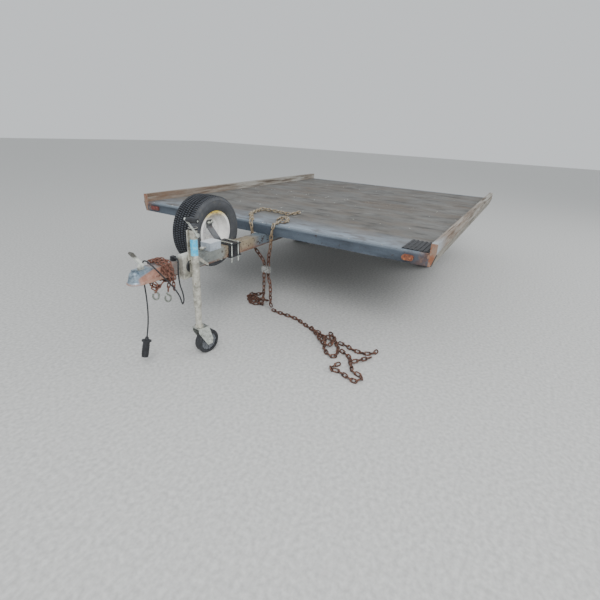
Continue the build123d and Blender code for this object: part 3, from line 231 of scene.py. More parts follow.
# %% Finishes of the tongue and what stands on it
# Primer and old paint worn to bare steel: blue grey near the bed, khaki behind the clamps, grey ahead of
# them, with rust along the lower edge.
FINISH["worn_steel"] = surface("worn_primer_on_steel", "#8d8069", 0.62, layers=[
    layer("#a1937a", 0.06, 0.45, soft=0.12), layer("#7c7264", 0.08, 0.4, soft=0.12),
    layer("#85695a", 0.05, 0.52, soft=0.14, rough=0.85, near=[("Z", 0.575, 0.540)]),
    layer("#6f7b84", 0.08, 1.0, soft=0.1, rough=0.55, metal=0.2, near=[("X", FRONT + 0.15, FRONT + 0.06)]),
    layer("#90948f", 0.08, 1.0, soft=0.1, rough=0.5, metal=0.2, near=[("X", FRONT + 0.43, FRONT + 0.47)]),
    layer("#6f7474", 0.04, 0.45, soft=0.14, rough=0.5, metal=0.2, near=[("X", FRONT + 0.45, FRONT + 0.6)]),
    layer("#6c5144", 0.03, 0.60, soft=0.1, rough=0.85, near=[("Z", 0.545, 0.532)]),
    layer(DEEP_RUST, 0.012, 0.24, rough=0.9)])

# A pressed hull with silver paint left on its nose and ridge, rusted to a chalky salmon on its sides. The
# border slopes, so the layer fades along a direction between X and Z.
SLOPE, RISE = (0.31, 0, 1), 0.31 * FRONT
SIDE = [("X", FRONT + 1.108, FRONT + 1.092), ("Z", 0.6105, 0.6055)]
FINISH["coupler_steel"] = surface("silver_paint_over_chalky_rust", "#8497a8", 0.36, metal=0.5, layers=[
    layer("#a9b9c5", 0.03, 0.4, soft=0.12, rough=0.32, metal=0.6),
    layer("#55636f", 0.02, 0.35, soft=0.1, rough=0.5, metal=0.4),
    layer("#a8a193", 0.03, 0.6, soft=0.1, rough=0.7, near=[("X", FRONT + 1.02, FRONT + 0.97)]),
    layer("#a67a69", 0.05, 1.0, soft=0.1, rough=0.8, near=[(SLOPE, RISE + 0.922, RISE + 0.914), *SIDE]),
    layer("#bb9383", 0.02, 0.42, soft=0.1, rough=0.8, near=[(SLOPE, RISE + 0.920, RISE + 0.908), *SIDE]),
    layer("#5d3c30", 0.015, 0.30, rough=0.85, near=[(SLOPE, RISE + 0.918, RISE + 0.89), *SIDE]),
    layer("#a98878", 0.02, 0.7, soft=0.1, rough=0.8, near=[("Z", 0.556, 0.549)]),
    layer("#85807e", 0.03, 0.7, soft=0.12, rough=0.6, metal=0.3, near=[("X", FRONT + 0.905, FRONT + 0.87)])])

# Hot-dip zinc turned dull and warm, with a faint spangle. The bracket's top is painted bright as a highlight,
# the latch's tip is grimy, and the face of the pivot ring is painted near black as the shade in its gap.
FINISH["galvanised"] = surface("dull_galvanised_steel", "#bfbdb1", 0.44, metal=0.55, layers=[
    layer("#dad8ce", 0.012, 0.5, soft=0.1), layer("#8d8b80", 0.02, 0.36, soft=0.1, rough=0.6, metal=0.5),
    layer("#7d6a52", 0.012, 0.05, rough=0.8),
    # Painted highlight: the bracket's top is near white.
    layer("#f2f4ec", 0.03, 0.9, soft=0.12, near=[("Z", 0.618, 0.638), ("Y", 0.086, 0.080)]),
    layer("#6b6a64", 0.03, 0.8, soft=0.12, near=[("Z", 0.672, 0.69), ("X", FRONT + 1.03, FRONT + 1.05)]),
    # Painted shade: the face of the pivot ring and the tube beside it, in the gap between them, are near
    # black.
    layer("#1f1f20", 0.05, 1.0, soft=0.1, rough=0.5,
          near=[("Y", 0.0800, 0.0815), ("Y", 0.0845, 0.0835), ("Z", 0.528, 0.536), ("Z", 0.616, 0.608)])])

# Fresh bright zinc plate: a clean light metal.
FINISH["bright_zinc"] = surface("bright_zinc_plate", "#e2e6e0", 0.26, metal=0.85, layers=[
    layer("#a6aaa2", 0.012, 0.38, soft=0.1, rough=0.42, metal=0.75)])

# Pale grey machine enamel, slightly glossy, painted lighter on its top as light falling there.
STUB_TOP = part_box("stub_box")[1][2]
FINISH["grey_paint"] = surface("pale_grey_enamel", "#a0a9b2", 0.42, layers=[
    layer("#bcc4cc", 0.05, 0.4, soft=0.16), layer("#858d97", 0.03, 0.25, soft=0.1),
    layer("#8a6a58", 0.006, 0.10, rough=0.8),
    # Painted light: the box's top face is paler, lit from above.
    layer("#dde3e8", 0.05, 1.0, soft=0.1, near=[("Z", STUB_TOP - 0.004, STUB_TOP - 0.001)])])

# Black-oxide steel that has dulled outdoors. The arm beyond the clamps is rubbed to a mid grey.
FINISH["dark_steel"] = surface("dulled_black_steel", "#303236", 0.55, metal=0.4, layers=[
    layer("#4b4d50", 0.03, 0.4, soft=0.1),
    layer("#74767a", 0.04, 0.95, soft=0.15, near=[("Y", -0.082, -0.10), ("Z", 0.60, 0.62)]),
    layer(RUST, 0.015, 0.16, rough=0.85), layer("#202124", 0.04, 0.26)])
print(len(FINISH), "finishes so far")

# %% Finishes of the wheels
# White wheel enamel with a yellow-brown water stain at the top, where dirt runs down inside the rim.
FINISH["white_paint"] = surface("white_wheel_enamel", "#f7f6f3", 0.35, coat=0.3, layers=[
    layer("#d9d6da", 0.04, 0.3, soft=0.12),
    layer("#dcc04a", 0.04, 0.95, soft=0.14, near=[("Z", 0.745, 0.80)]),
    layer("#8a6328", 0.010, 0.38, soft=0.06, rough=0.8, near=[("Z", 0.76, 0.80)]),
    layer("#8f7a5a", 0.006, 0.08, rough=0.8)])

# Rubber greyed by sun and dust, dusty on the wall. The grooves are painted nearly black as shade in the
# recesses, and the ribs' tops are paler, partly with wear and partly as painted light.
FINISH["tyre_rubber"] = surface("tyre_groove_rubber_painted_shade", "#17181a", 0.85, ior=1.52, layers=[
    layer("#232528", 0.02, 0.4, soft=0.15)], grain=0.002, contrast=0.25)
# The ribs' tops: paler with wear, and partly painted light.
WORN_AND_LIT_RIB = surface("worn_and_lit_tyre_rib", "#343840", 0.72, ior=1.52, layers=[
    layer("#454951", 0.02, 0.45, soft=0.15), layer("#5d5b54", 0.010, 0.10, soft=0.08)],
    grain=0.002, contrast=0.25)
SIDEWALL_RUBBER = surface("dusty_tyre_wall", "#3f4145", 0.8, ior=1.52, layers=[
    layer("#505256", 0.03, 0.5, soft=0.18), layer("#5f5c54", 0.012, 0.14, soft=0.1)],
    grain=0.0025, contrast=0.2)
print(len(FINISH), "finishes so far, and two more rubbers for the tyres")

# %% Finishes of chains, cord and plastic
# Bare chain steel under years of rust: brown, dull and grainy, and a paler tan where it hangs and rubs.
FINISH["rusty_steel"] = surface("old_brown_chain_rust", "#553a31", 0.85, layers=[
    layer("#7b5648", 0.010, 0.45, soft=0.1), layer("#33231e", 0.008, 0.42, soft=0.08),
    layer("#9a7763", 0.005, 0.24, soft=0.06),
    layer("#7d5548", 0.006, 0.56, soft=0.08, near=[("X", FRONT + 0.7, FRONT + 0.8)]),
    layer("#8b7a60", 0.02, 0.85, soft=0.12, near=[("Z", 0.46, 0.64), ("X", FRONT + 0.5, FRONT + 0.3)]),
    layer("#b3ab9b", 0.008, 0.45, soft=0.1, near=[("Z", 0.60, 0.69), ("X", FRONT + 0.5, FRONT + 0.3)])],
    grain=0.0012, bump=0.0006, contrast=0.25)

# Laminated padlock body: stacked steel plates, so its grain lies flat.
FINISH["padlock_steel"] = surface("laminated_lock_steel", "#b1b3b1", 0.4, metal=0.6, layers=[
    layer("#6f6e6a", 0.006, 0.42, soft=0.08), layer(RUST, 0.008, 0.22, rough=0.85)], stretch=(1, 1, 12))

# Moulded rubber of the cord, the plug and the jack's tread: black with a soft bloom.
FINISH["black_rubber"] = surface("moulded_black_rubber", "#212225", 0.55, ior=1.52, layers=[
    layer("#36383d", 0.01, 0.42, soft=0.15)], grain=0.0015, bump=0.0001)

# Glass-filled nylon of the jack wheel's core: mid grey, slightly waxy.
FINISH["grey_plastic"] = surface("grey_moulded_nylon", "#6b6e74", 0.5, ior=1.53, layers=[
    layer("#83868b", 0.01, 0.35, soft=0.15), layer("#4b4d52", 0.008, 0.25, soft=0.1)],
    grain=0.0015, bump=0.0001)
print(len(FINISH), "finishes so far")

# %% Finishes of lenses, edge guard, label and hooks
# Amber and red lens plastic, faded and streaked with rust from the channel.
FINISH["amber_lens"] = surface("faded_amber_acrylic", "#9c5632", 0.32, ior=1.49, layers=[
    layer("#bd7d4e", 0.010, 0.32, soft=0.12), layer("#5f3526", 0.009, 0.55, soft=0.12, rough=0.7)],
    coat=0.4, grain=0.003)
FINISH["red_lens"] = surface("faded_red_acrylic", "#7c3431", 0.32, ior=1.49, layers=[
    layer("#553028", 0.010, 0.62, soft=0.12, rough=0.7), layer("#b4524c", 0.006, 0.24, soft=0.08)],
    coat=0.4, grain=0.003)

# The round guard under each side board: sun-bleached grey on its length, painted dark at its open end as the
# shade inside it.
GUARD = surface("bleached_edge_guard", "#8b867c", 0.7, layers=[
    layer("#a19c91", 0.03, 0.45, soft=0.12, stretch=(0.1, 1, 1)),
    layer("#6d675e", 0.02, 0.4, soft=0.1, stretch=(0.1, 1, 1)),
    # Painted shade: the open end is dark, as the hollow inside it.
    layer("#474542", 0.02, 1.0, soft=0.1, near=[("X", FRONT - 0.006, FRONT - 0.002)])])

# A blank sky-blue vinyl label: smooth, with sun-bleached patches.
LABEL = surface("blank_blue_vinyl", "#33bdec", 0.4, ior=1.5, layers=[
    layer("#93e0f6", 0.010, 0.34, soft=0.12), layer("#2f93c0", 0.008, 0.16, soft=0.08)],
    grain=0.003, bump=0.00005)

# The chain's hooks: zinc gone dark and dull.
HOOK_ZINC = surface("dull_zinc_hook", "#7f847c", 0.42, metal=0.6, layers=[
    layer("#a7aba2", 0.006, 0.4, soft=0.1)])
print(len(FINISH), "finishes, one for each slot")

# %% [markdown]
# ## The CAD pieces
# A flat sheet or a rolled section is already right in the CAD, so its mesh is shown as it is. A narrow
# bevel breaks its edges, because no real edge is perfectly sharp and the bevel is what catches the light.

# %% Finish every CAD node
slots = {one["node"]: one["material_slot"] for one in frame["record"]["subparts"]}
BEVEL = {"side_board_left": 0.003, "side_board_right": 0.003, "deck_sheet_1": 0.001, "deck_sheet_2": 0.001,
         "tongue_beam": 0.004, "stub_box": 0.002, "front_channel": 0.002, "rear_channel": 0.002,
         "jack_bracket": 0.0015, "jack_fork": 0.0015, "carrier_arm": 0.001, "coupler": 0.0015,
         "padlock": 0.003, "reflector_right": 0.002, "marker_lamp_left": 0.004}
BEVEL_STEPS, EDGE_TURN = 2, radians(40)


def round_edges(obj, width):
    """Bevels each edge that turns more than EDGE_TURN, and keeps the faces beside it flat to the light."""
    bevel = obj.modifiers.new("edges", "BEVEL")
    bevel.width, bevel.segments, bevel.limit_method = width, BEVEL_STEPS, "ANGLE"
    bevel.angle_limit = EDGE_TURN
    bevel.use_clamp_overlap = True
    bevel.harden_normals = True


OWN_FINISH = {"board_shoe_left": GUARD, "board_shoe_right": GUARD, "u_bolts": FINISH["bright_zinc"],
              "jack_crank": FINISH["bright_zinc"]}
for name, obj in frame["nodes"].items():
    obj.data.materials.clear()
    obj.data.materials.append(OWN_FINISH.get(name, FINISH[slots[name]]))
    if name in BEVEL:
        round_edges(obj, BEVEL[name])
print("shown from the CAD:", len(frame["nodes"]))

# %% [markdown]
# ## Helpers for new pieces
# A new piece is a list of points and a list of faces that count those points. Small shapes such as a nut are
# made once round their own middle, then placed many times by a matrix and joined to one mesh, which is
# lighter and quicker than many objects.

# %% Points, faces and placing
NUT_CHAMFER = 0.12   # as a share of the nut's height


def at(x, y, z):
    """A point counted from the bed's front face in millimetres, as a place in the scene."""
    return Vector((BED_X + x / 1000, y / 1000, z / 1000))


def aimed(place, axis, turn=0.0):
    """A matrix that puts a shape's own Z along an axis at a place."""
    tilt = Vector(axis).to_track_quat("Z", "Y").to_matrix().to_4x4()
    return Matrix.Translation(place) @ tilt @ Matrix.Rotation(turn, 4, "Z")


def join(parts):
    """Puts many shapes, each with its own matrix, in one list of points and faces."""
    points, faces = [], []
    for (shape_points, shape_faces), matrix in parts:
        start = len(points)
        points += [matrix @ Vector(p) for p in shape_points]
        faces += [tuple(start + i for i in face) for face in shape_faces]
    return points, faces


def piece(name, shape, slot, body, finish=None, sharp=35):
    """Makes the object, gives it its finish and lets it ride with its body.

    An edge that turns more than the given number of degrees stays sharp.
    """
    mesh = bpy.data.meshes.new(name)
    mesh.from_pydata([tuple(p) for p in shape[0]], [], shape[1])
    mesh.validate()
    mesh.shade_smooth()
    mesh.set_sharp_from_angle(angle=radians(sharp))
    mesh.materials.append(finish or FINISH[slot])
    obj = bpy.data.objects.new(name, mesh)
    bpy.context.collection.objects.link(obj)
    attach(obj, body)
    return obj


def turned(profile, steps):
    """A shape turned about Z, from a profile of radius and height. A radius of 0 closes an end."""
    points, faces = [], []
    count = len(profile)
    for step in range(steps):
        angle = 2 * pi * step / steps
        points += [(r * cos(angle), r * sin(angle), h) for r, h in profile]
    for step in range(steps):
        here, there = step * count, (step + 1) % steps * count
        faces += [(here + i, there + i, there + i + 1, here + i + 1) for i in range(count - 1)]
    return points, faces


def hexagon(flats, height):
    """A hexagon nut or bolt head that stands on its own middle, its upper edge turned down a little."""
    r, chamfer = flats / 2 / cos(pi / 6), NUT_CHAMFER * height
    profile = [(0, 0), (r, 0), (r, height - chamfer), (r - chamfer, height), (0, height)]
    return turned(profile, 6)


# %% [markdown]
# ## Tyres
# A low wide trailer tyre has ribs round it and short cross grooves in each rib. The section is turned in
# small steps, and a rib's points sink at every fourth step, half a block later on every other rib, which cuts
# the grooves. Each face gets one of three rubbers: the ribs' tops are paler, partly worn and partly painted
# light, the walls are dusty, and the grooves are painted nearly black as the shade in the recesses.

# %% One tyre mesh, used for the three wheels
# Lengths are in metres. The seat is where the tyre meets its rim.
TYRE_R, TYRE_HALF, SEAT_R, SEAT_HALF = 0.236, 0.095, 0.127, 0.0768
RIBS, RIB_GAP, RIB_DEPTH, CROSS_DEPTH = 6, 0.006, 0.007, 0.005
BLOCKS, STEPS_PER_BLOCK = 104, 4
TREAD_HALF, CROWN_DROP = 0.066, 0.012
GROOVE, RIB_TOP, WALL = 0, 1, 2   # the three rubbers, in the order of the tyre's materials

# The wall's outline and the shoulder's, each as radius and distance from the middle.
SIDEWALL = [(SEAT_R, SEAT_HALF), (0.141, 0.0775), (0.147, 0.0800), (0.149, 0.0845), (0.153, 0.0850),
            (0.156, 0.0875), (0.170, 0.0925), (0.184, TYRE_HALF), (0.197, 0.0940), (0.205, 0.0918),
            (0.207, 0.0930), (0.211, 0.0918), (0.213, 0.0890), (0.221, 0.0840)]
SHOULDER = [(0.229, 0.0775), (0.234, 0.0710)]


def is_groove(step, shift):
    """Says whether a cross groove lies at a step. A rib with a shift of 1 has it half a block on."""
    return (step + shift * STEPS_PER_BLOCK // 2) % STEPS_PER_BLOCK == 0


def tyre_shape():
    """All the steps of a section. Its points have a radius, Y, how deep a groove sinks them, and a shift."""
    rib = (2 * TREAD_HALF - (RIBS - 1) * RIB_GAP) / RIBS
    section = [(r, -y, 0, 0) for r, y in SIDEWALL] + [(r, -y, CROSS_DEPTH, 0) for r, y in SHOULDER]
    for index in range(RIBS):
        y0 = -TREAD_HALF + index * (rib + RIB_GAP)
        crown = TYRE_R - CROWN_DROP * (abs(index - (RIBS - 1) / 2) / RIBS) ** 2
        section += [(crown, y0, CROSS_DEPTH, index % 2), (crown, y0 + rib, CROSS_DEPTH, index % 2)]
        if index < RIBS - 1:
            section += [(crown - RIB_DEPTH, y0 + rib, 0, 0), (crown - RIB_DEPTH, y0 + rib + RIB_GAP, 0, 0)]
    section += [(r, y, CROSS_DEPTH, 0) for r, y in reversed(SHOULDER)]
    section += [(r, y, 0, 0) for r, y in reversed(SIDEWALL)]
    steps = BLOCKS * STEPS_PER_BLOCK
    points, faces, kinds = [], [], []
    for step in range(steps):
        angle = 2 * pi * step / steps
        for r, y, sink, shift in section:
            radius = r - (sink if is_groove(step, shift) else 0)
            points.append((radius * cos(angle), radius * sin(angle), y))
        here, there = step * len(section), (step + 1) % steps * len(section)
        for i in range(len(section)):
            j = (i + 1) % len(section)
            faces.append((here + i, here + j, there + j, there + i))
            _, y, sink, shift = section[i]
            wall = sink == 0 and abs(y) > TREAD_HALF
            solid = not (is_groove(step, shift) or is_groove(step + 1, shift))
            top = sink > 0 and section[j][2] > 0 and solid
            kinds.append(WALL if wall else RIB_TOP if top else GROOVE)
    return points, faces, kinds


tyre = tyre_shape()
TYRES = {"tyre_left": "wheel_left", "tyre_right": "wheel_right", "spare_tyre": "tongue"}
for node, body in TYRES.items():
    low, high = (Vector(corner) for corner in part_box(node))
    shape = join([(tyre[:2], aimed((low + high) / 2, (0, -1, 0)))])
    made = piece("treaded_" + node, shape, "tyre_rubber", body, sharp=28)
    for finish in (WORN_AND_LIT_RIB, SIDEWALL_RUBBER):
        made.data.materials.append(finish)
    made.data.polygons.foreach_set("material_index", tyre[2])
    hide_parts(node)
print("tyre faces", len(tyre[1]))

# %% [markdown]
# ## Chains
# A chain is the same link many times, each turned a quarter round from the one before. One link is a round
# wire bent to a loop with two half circles. It is placed along smooth curves through the same points that
# the CAD chain follows, and a little random roll keeps it from looking machine made. Links that lie on the
# ground are lifted where they would sink into it; links on the deck are laid at a set height over it.

# %% One link and how it is laid
def wire_loop(pitch, wire, width, bends=6, sides=8):
    """One link: a wire's middle line with two half circles, thickened to a tube."""
    radius = wire / 2
    bend = width / 2 - radius
    straight = (pitch + 2 * radius - 2 * bend) / 2
    line = []
    for end in (1, -1):
        for i in range(bends + 1):
            angle = -pi / 2 + pi * i / bends
            out_x, out_y = end * cos(angle), end * sin(angle)
            line.append((end * straight + bend * out_x, bend * out_y, out_x, out_y))
    points, faces = [], []
    for k, (x, y, nx, ny) in enumerate(line):
        points += [(x + nx * radius * cos(a), y + ny * radius * cos(a), radius * sin(a))
                   for a in (2 * pi * s / sides for s in range(sides))]
        here, there = k * sides, (k + 1) % len(line) * sides
        for s in range(sides):
            t = (s + 1) % sides
            faces.append((here + s, there + s, there + t, here + t))
    return points, faces


def smooth_route(points, parts=6):
    """A smooth curve through the points: each stretch bends with the points before and after it."""
    ends = [points[0] * 2 - points[1], *points, points[-1] * 2 - points[-2]]
    route = []
    for p0, p1, p2, p3 in zip(ends, ends[1:], ends[2:], ends[3:]):
        for i in range(parts):
            t = i / parts
            route.append(0.5 * (2 * p1 + (p2 - p0) * t + (2 * p0 - 5 * p1 + 4 * p2 - p3) * t ** 2
                                + (3 * p1 - p0 - 3 * p2 + p3) * t ** 3))
    return route + [points[-1]]


def laid(points, size, facing, roll, floor=None, wobble=9):
    """Links along a route, each rolled a quarter on, give or take the wobble in degrees.

    A floor is the height that no link goes under.
    """
    pitch = size[0]
    shape = wire_loop(*size)
    route = smooth_route([Vector(p) for p in points])
    parts, travelled, wanted, index = [], 0.0, pitch / 2, 0
    for a, b in zip(route, route[1:]):
        length = (b - a).length
        while wanted <= travelled + length and length > 0:
            middle, ahead = a.lerp(b, (wanted - travelled) / length), (b - a).normalized()
            side = ahead.cross(Vector(facing)).normalized()
            turn = radians(roll + 90 * (index % 2) + random.uniform(-wobble, wobble))
            up = side.cross(ahead) * cos(turn) + side * sin(turn)
            matrix = Matrix.Translation(middle) @ Matrix((ahead, up.cross(ahead), up)).transposed().to_4x4()
            if floor is not None:
                lowest = min((matrix @ Vector(p)).z for p in shape[0])
                matrix = Matrix.Translation((0, 0, max(0, floor - lowest))) @ matrix
            parts.append((shape, matrix))
            wanted, index = wanted + pitch, index + 1
        travelled += length
    return parts


# %% Routes of the lock chain, in millimetres from the bed's front
# STRAND_X is how far a strand hangs before the front channel, LIE how high a lying link's middle is.
random.seed(4)
LINK = (0.034, 0.009, 0.029)   # pitch, wire and width in metres
STRAND_X, LIE, DECK_Z = 16.3, 13.5, 681
FRONT_STRAND = [(85, 372), (85, 405), (87, 451), (99, 515), (105, 600), (113, 655)]
LEFT_STRAND = [(-76, 672), (-66, 600), (-60, 520), (-30, 478), (17, 430), (44, 392), (45, 318), (46, 186)]
RIGHT_STRAND = [(85, 336), (85, 285), (103, 225), (107, 134)]
LEFT_LANDING = [(14, 41, 120), (-8, 20, 50), (-30, -6, 15)]
RIGHT_LANDING = [(6, 103, 70), (-4, 106, 28)]
LEFT_HEAP = [(-30, -6), (-26, -40), (-5, -85), (-69, -170), (-164, -205), (-186, -158), (-225, -144)]
SMALL_HEAP = [(-133, -16), (-123, -29), (-120, -68), (-107, -120), (-84, -158)]
INNER_HEAP = [(-28, -20), (-62, -58), (-96, -92), (-58, -128), (-24, -100), (-70, -88), (-132, -150),
              (-92, -178)]
GROUND_STRAND = [(0, 118), (13, 190), (17, 275), (29, 359), (67, 445), (99, 522), (111, 569), (127, 610),
                 (189, 681), (276, 718), (332, 769), (339, 822), (257, 811), (182, 761), (106, 701),
                 (75, 652)]
GROUND_BRANCH = [(167, 776), (175, 839), (193, 874), (200, 927), (195, 975), (156, 1019), (103, 1030)]
GROUND_TAIL = [(248, 828), (294, 906), (334, 930), (382, 958), (430, 992), (443, 1036), (464, 1057),
               (512, 1039), (503, 992), (488, 953), (476, 915), (477, 869), (437, 870), (408, 883)]
GROUND_END = [(340, 950), (276, 993), (220, 1032)]
GROUND_LOOP = [(96, 520), (130, 560), (168, 610), (226, 668), (250, 730), (206, 742), (160, 700), (148, 640)]
DECK_EDGE_LEFT = [(17, -78, 668), (12, -80, 690)]
DECK_EDGE_RIGHT = [(17, 116, 660), (12, 122, 688)]
DECK_LEFT = [(-13, -84), (-63, -139), (-105, -160), (-150, -213), (-283, -253), (-390, -270), (-402, -196),
             (-389, -88), (-378, 16), (-510, 32)]
DECK_RIGHT = [(-13, 130), (-50, 116), (-91, 117), (-102, 153), (-202, 107), (-227, 55), (-148, 52)]

# The runs that lie on the ground, each with its height in millimetres over it: some lie over other links.
HEAP_RUNS = ((LEFT_HEAP, 0), (SMALL_HEAP, 0), (INNER_HEAP, 9))
GROUND_RUNS = ((GROUND_STRAND, 0), (GROUND_BRANCH, 0), (GROUND_TAIL, 0), (GROUND_END, 6), (GROUND_LOOP, 9))
DECK_RUNS = ((DECK_EDGE_LEFT, DECK_LEFT), (DECK_EDGE_RIGHT, DECK_RIGHT))
print("runs", len(HEAP_RUNS) + len(GROUND_RUNS), "on the ground,", len(DECK_RUNS), "on the deck")


# %% Lock chain
def hung(points):
    """A strand in front of the channel, given in Y and Z."""
    return [at(STRAND_X, y, z) for y, z in points]


def lying(points, height):
    """A run that lies on the ground or at a height over it, given in X and Y."""
    route = [at(x, y, height + LIE) for x, y in points]
    return laid(route, LINK, (0, 0, 1), 45, floor=height / 1000)


front = laid(hung(FRONT_STRAND), LINK, (1, 0, 0), 0)
front += laid(hung(LEFT_STRAND) + [at(*p) for p in LEFT_LANDING], LINK, (1, 0, 0), 0, floor=0)
for run, height in HEAP_RUNS:
    front += lying(run, height)
ground = laid(hung(RIGHT_STRAND) + [at(*p) for p in RIGHT_LANDING], LINK, (1, 0, 0), 0, floor=0)
for run, height in GROUND_RUNS:
    ground += lying(run, height)
deck = []
for edge, run in DECK_RUNS:
    route = [at(*p) for p in edge] + [at(x, y, DECK_Z + LIE) for x, y in run]
    deck += laid(route, LINK, (0, 0, 1), 45)
for name, parts, body in (("front", front, "tongue"), ("ground", ground, "tongue"), ("deck", deck, "bed")):
    made = piece("lock_chain_links_" + name, join(parts), "rusty_steel", body, sharp=60)
    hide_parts("lock_chain_" + name)
    print("links", name, len(parts))

# %% [markdown]
# ## Safety chain and its hooks
# The lighter safety chain is wound several times round the coupler and hangs below it in short ends, two of
# them with an open hook of dull zinc. The turns lean a little and lie side by side, as a hand winds them.

# %% Turns round the coupler
SAFETY_LINK = (0.025, 0.0065, 0.0200)
WIND_Y, WIND_TOP, WIND_MIDDLE, WIND_LOW = 53, 620, 575, 520
WIND_BULGE, TOP_INSET = 4, 6
WIND = ((896, 24), (910, 34), (925, 30), (941, 42))   # each turn's X and how far it leans
CLUMP = [(958, 44, 520), (975, 30, 498), (1000, 22, 488), (1010, 4, 512), (986, -8, 500), (968, 14, 484),
         (990, 34, 506), (1004, 30, 526)]
HOOKED_END = [(906, 40, 520), (912, 30, 480), (915, 22, 436)]
BARE_END = [(890, 44, 520), (884, 40, 486), (880, 36, 452)]
FRONT_END = [(985, 26, 486), (992, 21, 474)]

turns = []
for x, lean in WIND:
    turns += [at(x - lean / 2, WIND_Y, WIND_LOW), at(x + WIND_BULGE, WIND_Y + WIND_BULGE, WIND_MIDDLE),
              at(x + lean / 2, WIND_Y - TOP_INSET, WIND_TOP), at(x + lean / 2, -WIND_Y + TOP_INSET, WIND_TOP),
              at(x, -WIND_Y, WIND_LOW)]
safety = laid(turns, SAFETY_LINK, (1, 0, 0), 45, wobble=14)
for run, roll, wobble in ((CLUMP, 45, 25), (HOOKED_END, 20, 25), (BARE_END, 20, 25), (FRONT_END, 20, 9)):
    safety += laid([at(*p) for p in run], SAFETY_LINK, (1, 0, 0), roll, wobble=wobble)
made = piece("safety_chain_links", join(safety), "rusty_steel", "tongue", sharp=60)
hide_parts("safety_chain")
print("safety links", len(safety))


# %% Hooks at its ends
HOOKS, HOOK_TURN = ((995, 20, 444), (915, 20, 404)), radians(-35)
HOOK_SHANK = ((0.004, 0.012), (0.003, 0.005))   # X, and height over the ring


def hook_shape(radius=0.0155, wire_r=0.0052, tall=1.35, sides=8, steps=16, gap=50):
    """An open ring with a short shank: a wire bent most of the way round, hanging in its own XZ plane.

    The ring is taller than it is wide, and its gap is in degrees.
    """
    line = [(x, 0, radius * tall + rise) for x, rise in HOOK_SHANK]
    for i in range(steps + 1):
        angle = radians(90 + (360 - gap) * i / steps)
        line.append((radius * cos(angle), 0, radius * tall * sin(angle)))
    points, faces = [], []
    for k, here in enumerate(line):
        before, after = Vector(line[max(k - 1, 0)]), Vector(line[min(k + 1, len(line) - 1)])
        ahead = (after - before).normalized()
        out = Vector((0, 1, 0)).cross(ahead)
        points += [tuple(Vector(here) + wire_r * (cos(a) * out + sin(a) * Vector((0, 1, 0))))
                   for a in (2 * pi * s / sides for s in range(sides))]
        if k:
            low, high = (k - 1) * sides, k * sides
            for s in range(sides):
                t = (s + 1) % sides
                faces.append((low + s, high + s, high + t, low + t))
    faces += [tuple(range(sides)), tuple(reversed(range(len(points) - sides, len(points))))]
    return points, faces


hook = hook_shape()
parts = [(hook, Matrix.Translation(at(*place)) @ Matrix.Rotation(HOOK_TURN, 4, "Z")) for place in HOOKS]
piece("safety_hooks", join(parts), "bright_zinc", "tongue", finish=HOOK_ZINC)
print("hooks", len(parts))

# %% [markdown]
# ## The wiring cord
# A free cord is one smooth curve with a round section. Its points are the CAD route's own points, so the
# two lie on one line. The curve touches its first and last points and bends smoothly past the others. A
# tapered rubber sleeve keeps it from kinking where it leaves its grommet.

# %% Cord
CORD_D = 0.008
CORD_ROUTE = [
    (849, 24, 625), (849, 44, 625), (855, 60, 615), (865, 67, 590), (870, 67, 541), (867, 71, 478),
    (857, 77, 434), (853, 79, 395), (866, 88, 378), (886, 101, 378), (899, 110, 395), (905, 107, 430),
    (914, 93, 463), (926, 77, 494), (952, 69, 532), (982, 66, 572), (1011, 60, 612), (1024, 38, 638),
    (1021, 6, 648), (1013, -28, 640), (1007, -52, 610), (1004, -58, 556), (1001, -57, 485), (999, -56, 410),
    (1001, -55, 340), (1008, -54, 275), (1022, -52, 215), (1036, -51, 165),
]
route = [at(*point) for point in CORD_ROUTE]

curve = bpy.data.curves.new("cord", "CURVE")
curve.dimensions = "3D"
curve.bevel_depth = CORD_D / 2
curve.bevel_resolution = 4
curve.resolution_u = 12
line = curve.splines.new("NURBS")
line.points.add(len(route) - 1)
for point, place in zip(line.points, route):
    point.co = (*place, 1)
line.order_u = 3
line.use_endpoint_u = True
cord = bpy.data.objects.new("cord", curve)
bpy.context.collection.objects.link(cord)
curve.materials.append(FINISH["black_rubber"])
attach(cord, "tongue")
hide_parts("cord_tube")
print("cord points", len(route))

# %% Strain relief and the plug's grip
SLEEVE = [(0, -0.001), (0.0078, -0.001), (0.0078, 0.006), (0.0066, 0.008), (0.0058, 0.016), (0.0048, 0.021),
          (0.0041, 0.022), (0, 0.022)]
BOOT = [(0.0041, -0.020), (0.009, -0.018), (0.012, -0.004), (0.020, 0.0005), (0.0041, 0.0005)]
GRIPS, GRIP_START, GRIP_PITCH = 6, 0.030, 0.010
PLUG_FOOT_R, PLUG_RIB_R = 0.018, 0.0206
GRIP = [(PLUG_FOOT_R, 0), (PLUG_RIB_R, 0.001), (PLUG_RIB_R, 0.004), (PLUG_FOOT_R, 0.005)]

plug_way = (route[-1] - route[-2]).normalized()
ribs = []
for i in range(GRIPS):
    place = route[-1] + plug_way * (GRIP_START + GRIP_PITCH * i)
    ribs.append((turned(GRIP, 32), aimed(place, plug_way)))
boot = (turned(BOOT, 32), aimed(route[-1], plug_way))
sleeve = (turned(SLEEVE, 24), aimed(route[0], route[1] - route[0]))
piece("cord_sleeve", join([sleeve]), "black_rubber", "tongue")
piece("plug_grip", join([boot, *ribs]), "black_rubber", "tongue")
print("plug ribs", len(ribs))

# %% [markdown]
# ## Jack details
# The jack's tube carries a blank blue label and a black cap, its pivot ring a black seal, and its wheel has
# moulded spokes and a nut at each end of its axle. The label is a thin curved strip, half a millimetre proud
# of the tube, that wraps round the side that faces the coupler.

# %% Label, cap and seal
JACK = (777, 107)   # the tube's middle in X and Y, in millimetres
TUBE_R = 0.0225
LABEL_LOW, LABEL_HIGH, LABEL_PROUD, LABEL_SUNK = 642, 735, 0.0005, 0.0002
LABEL_FROM, LABEL_TO = radians(-12), radians(104)


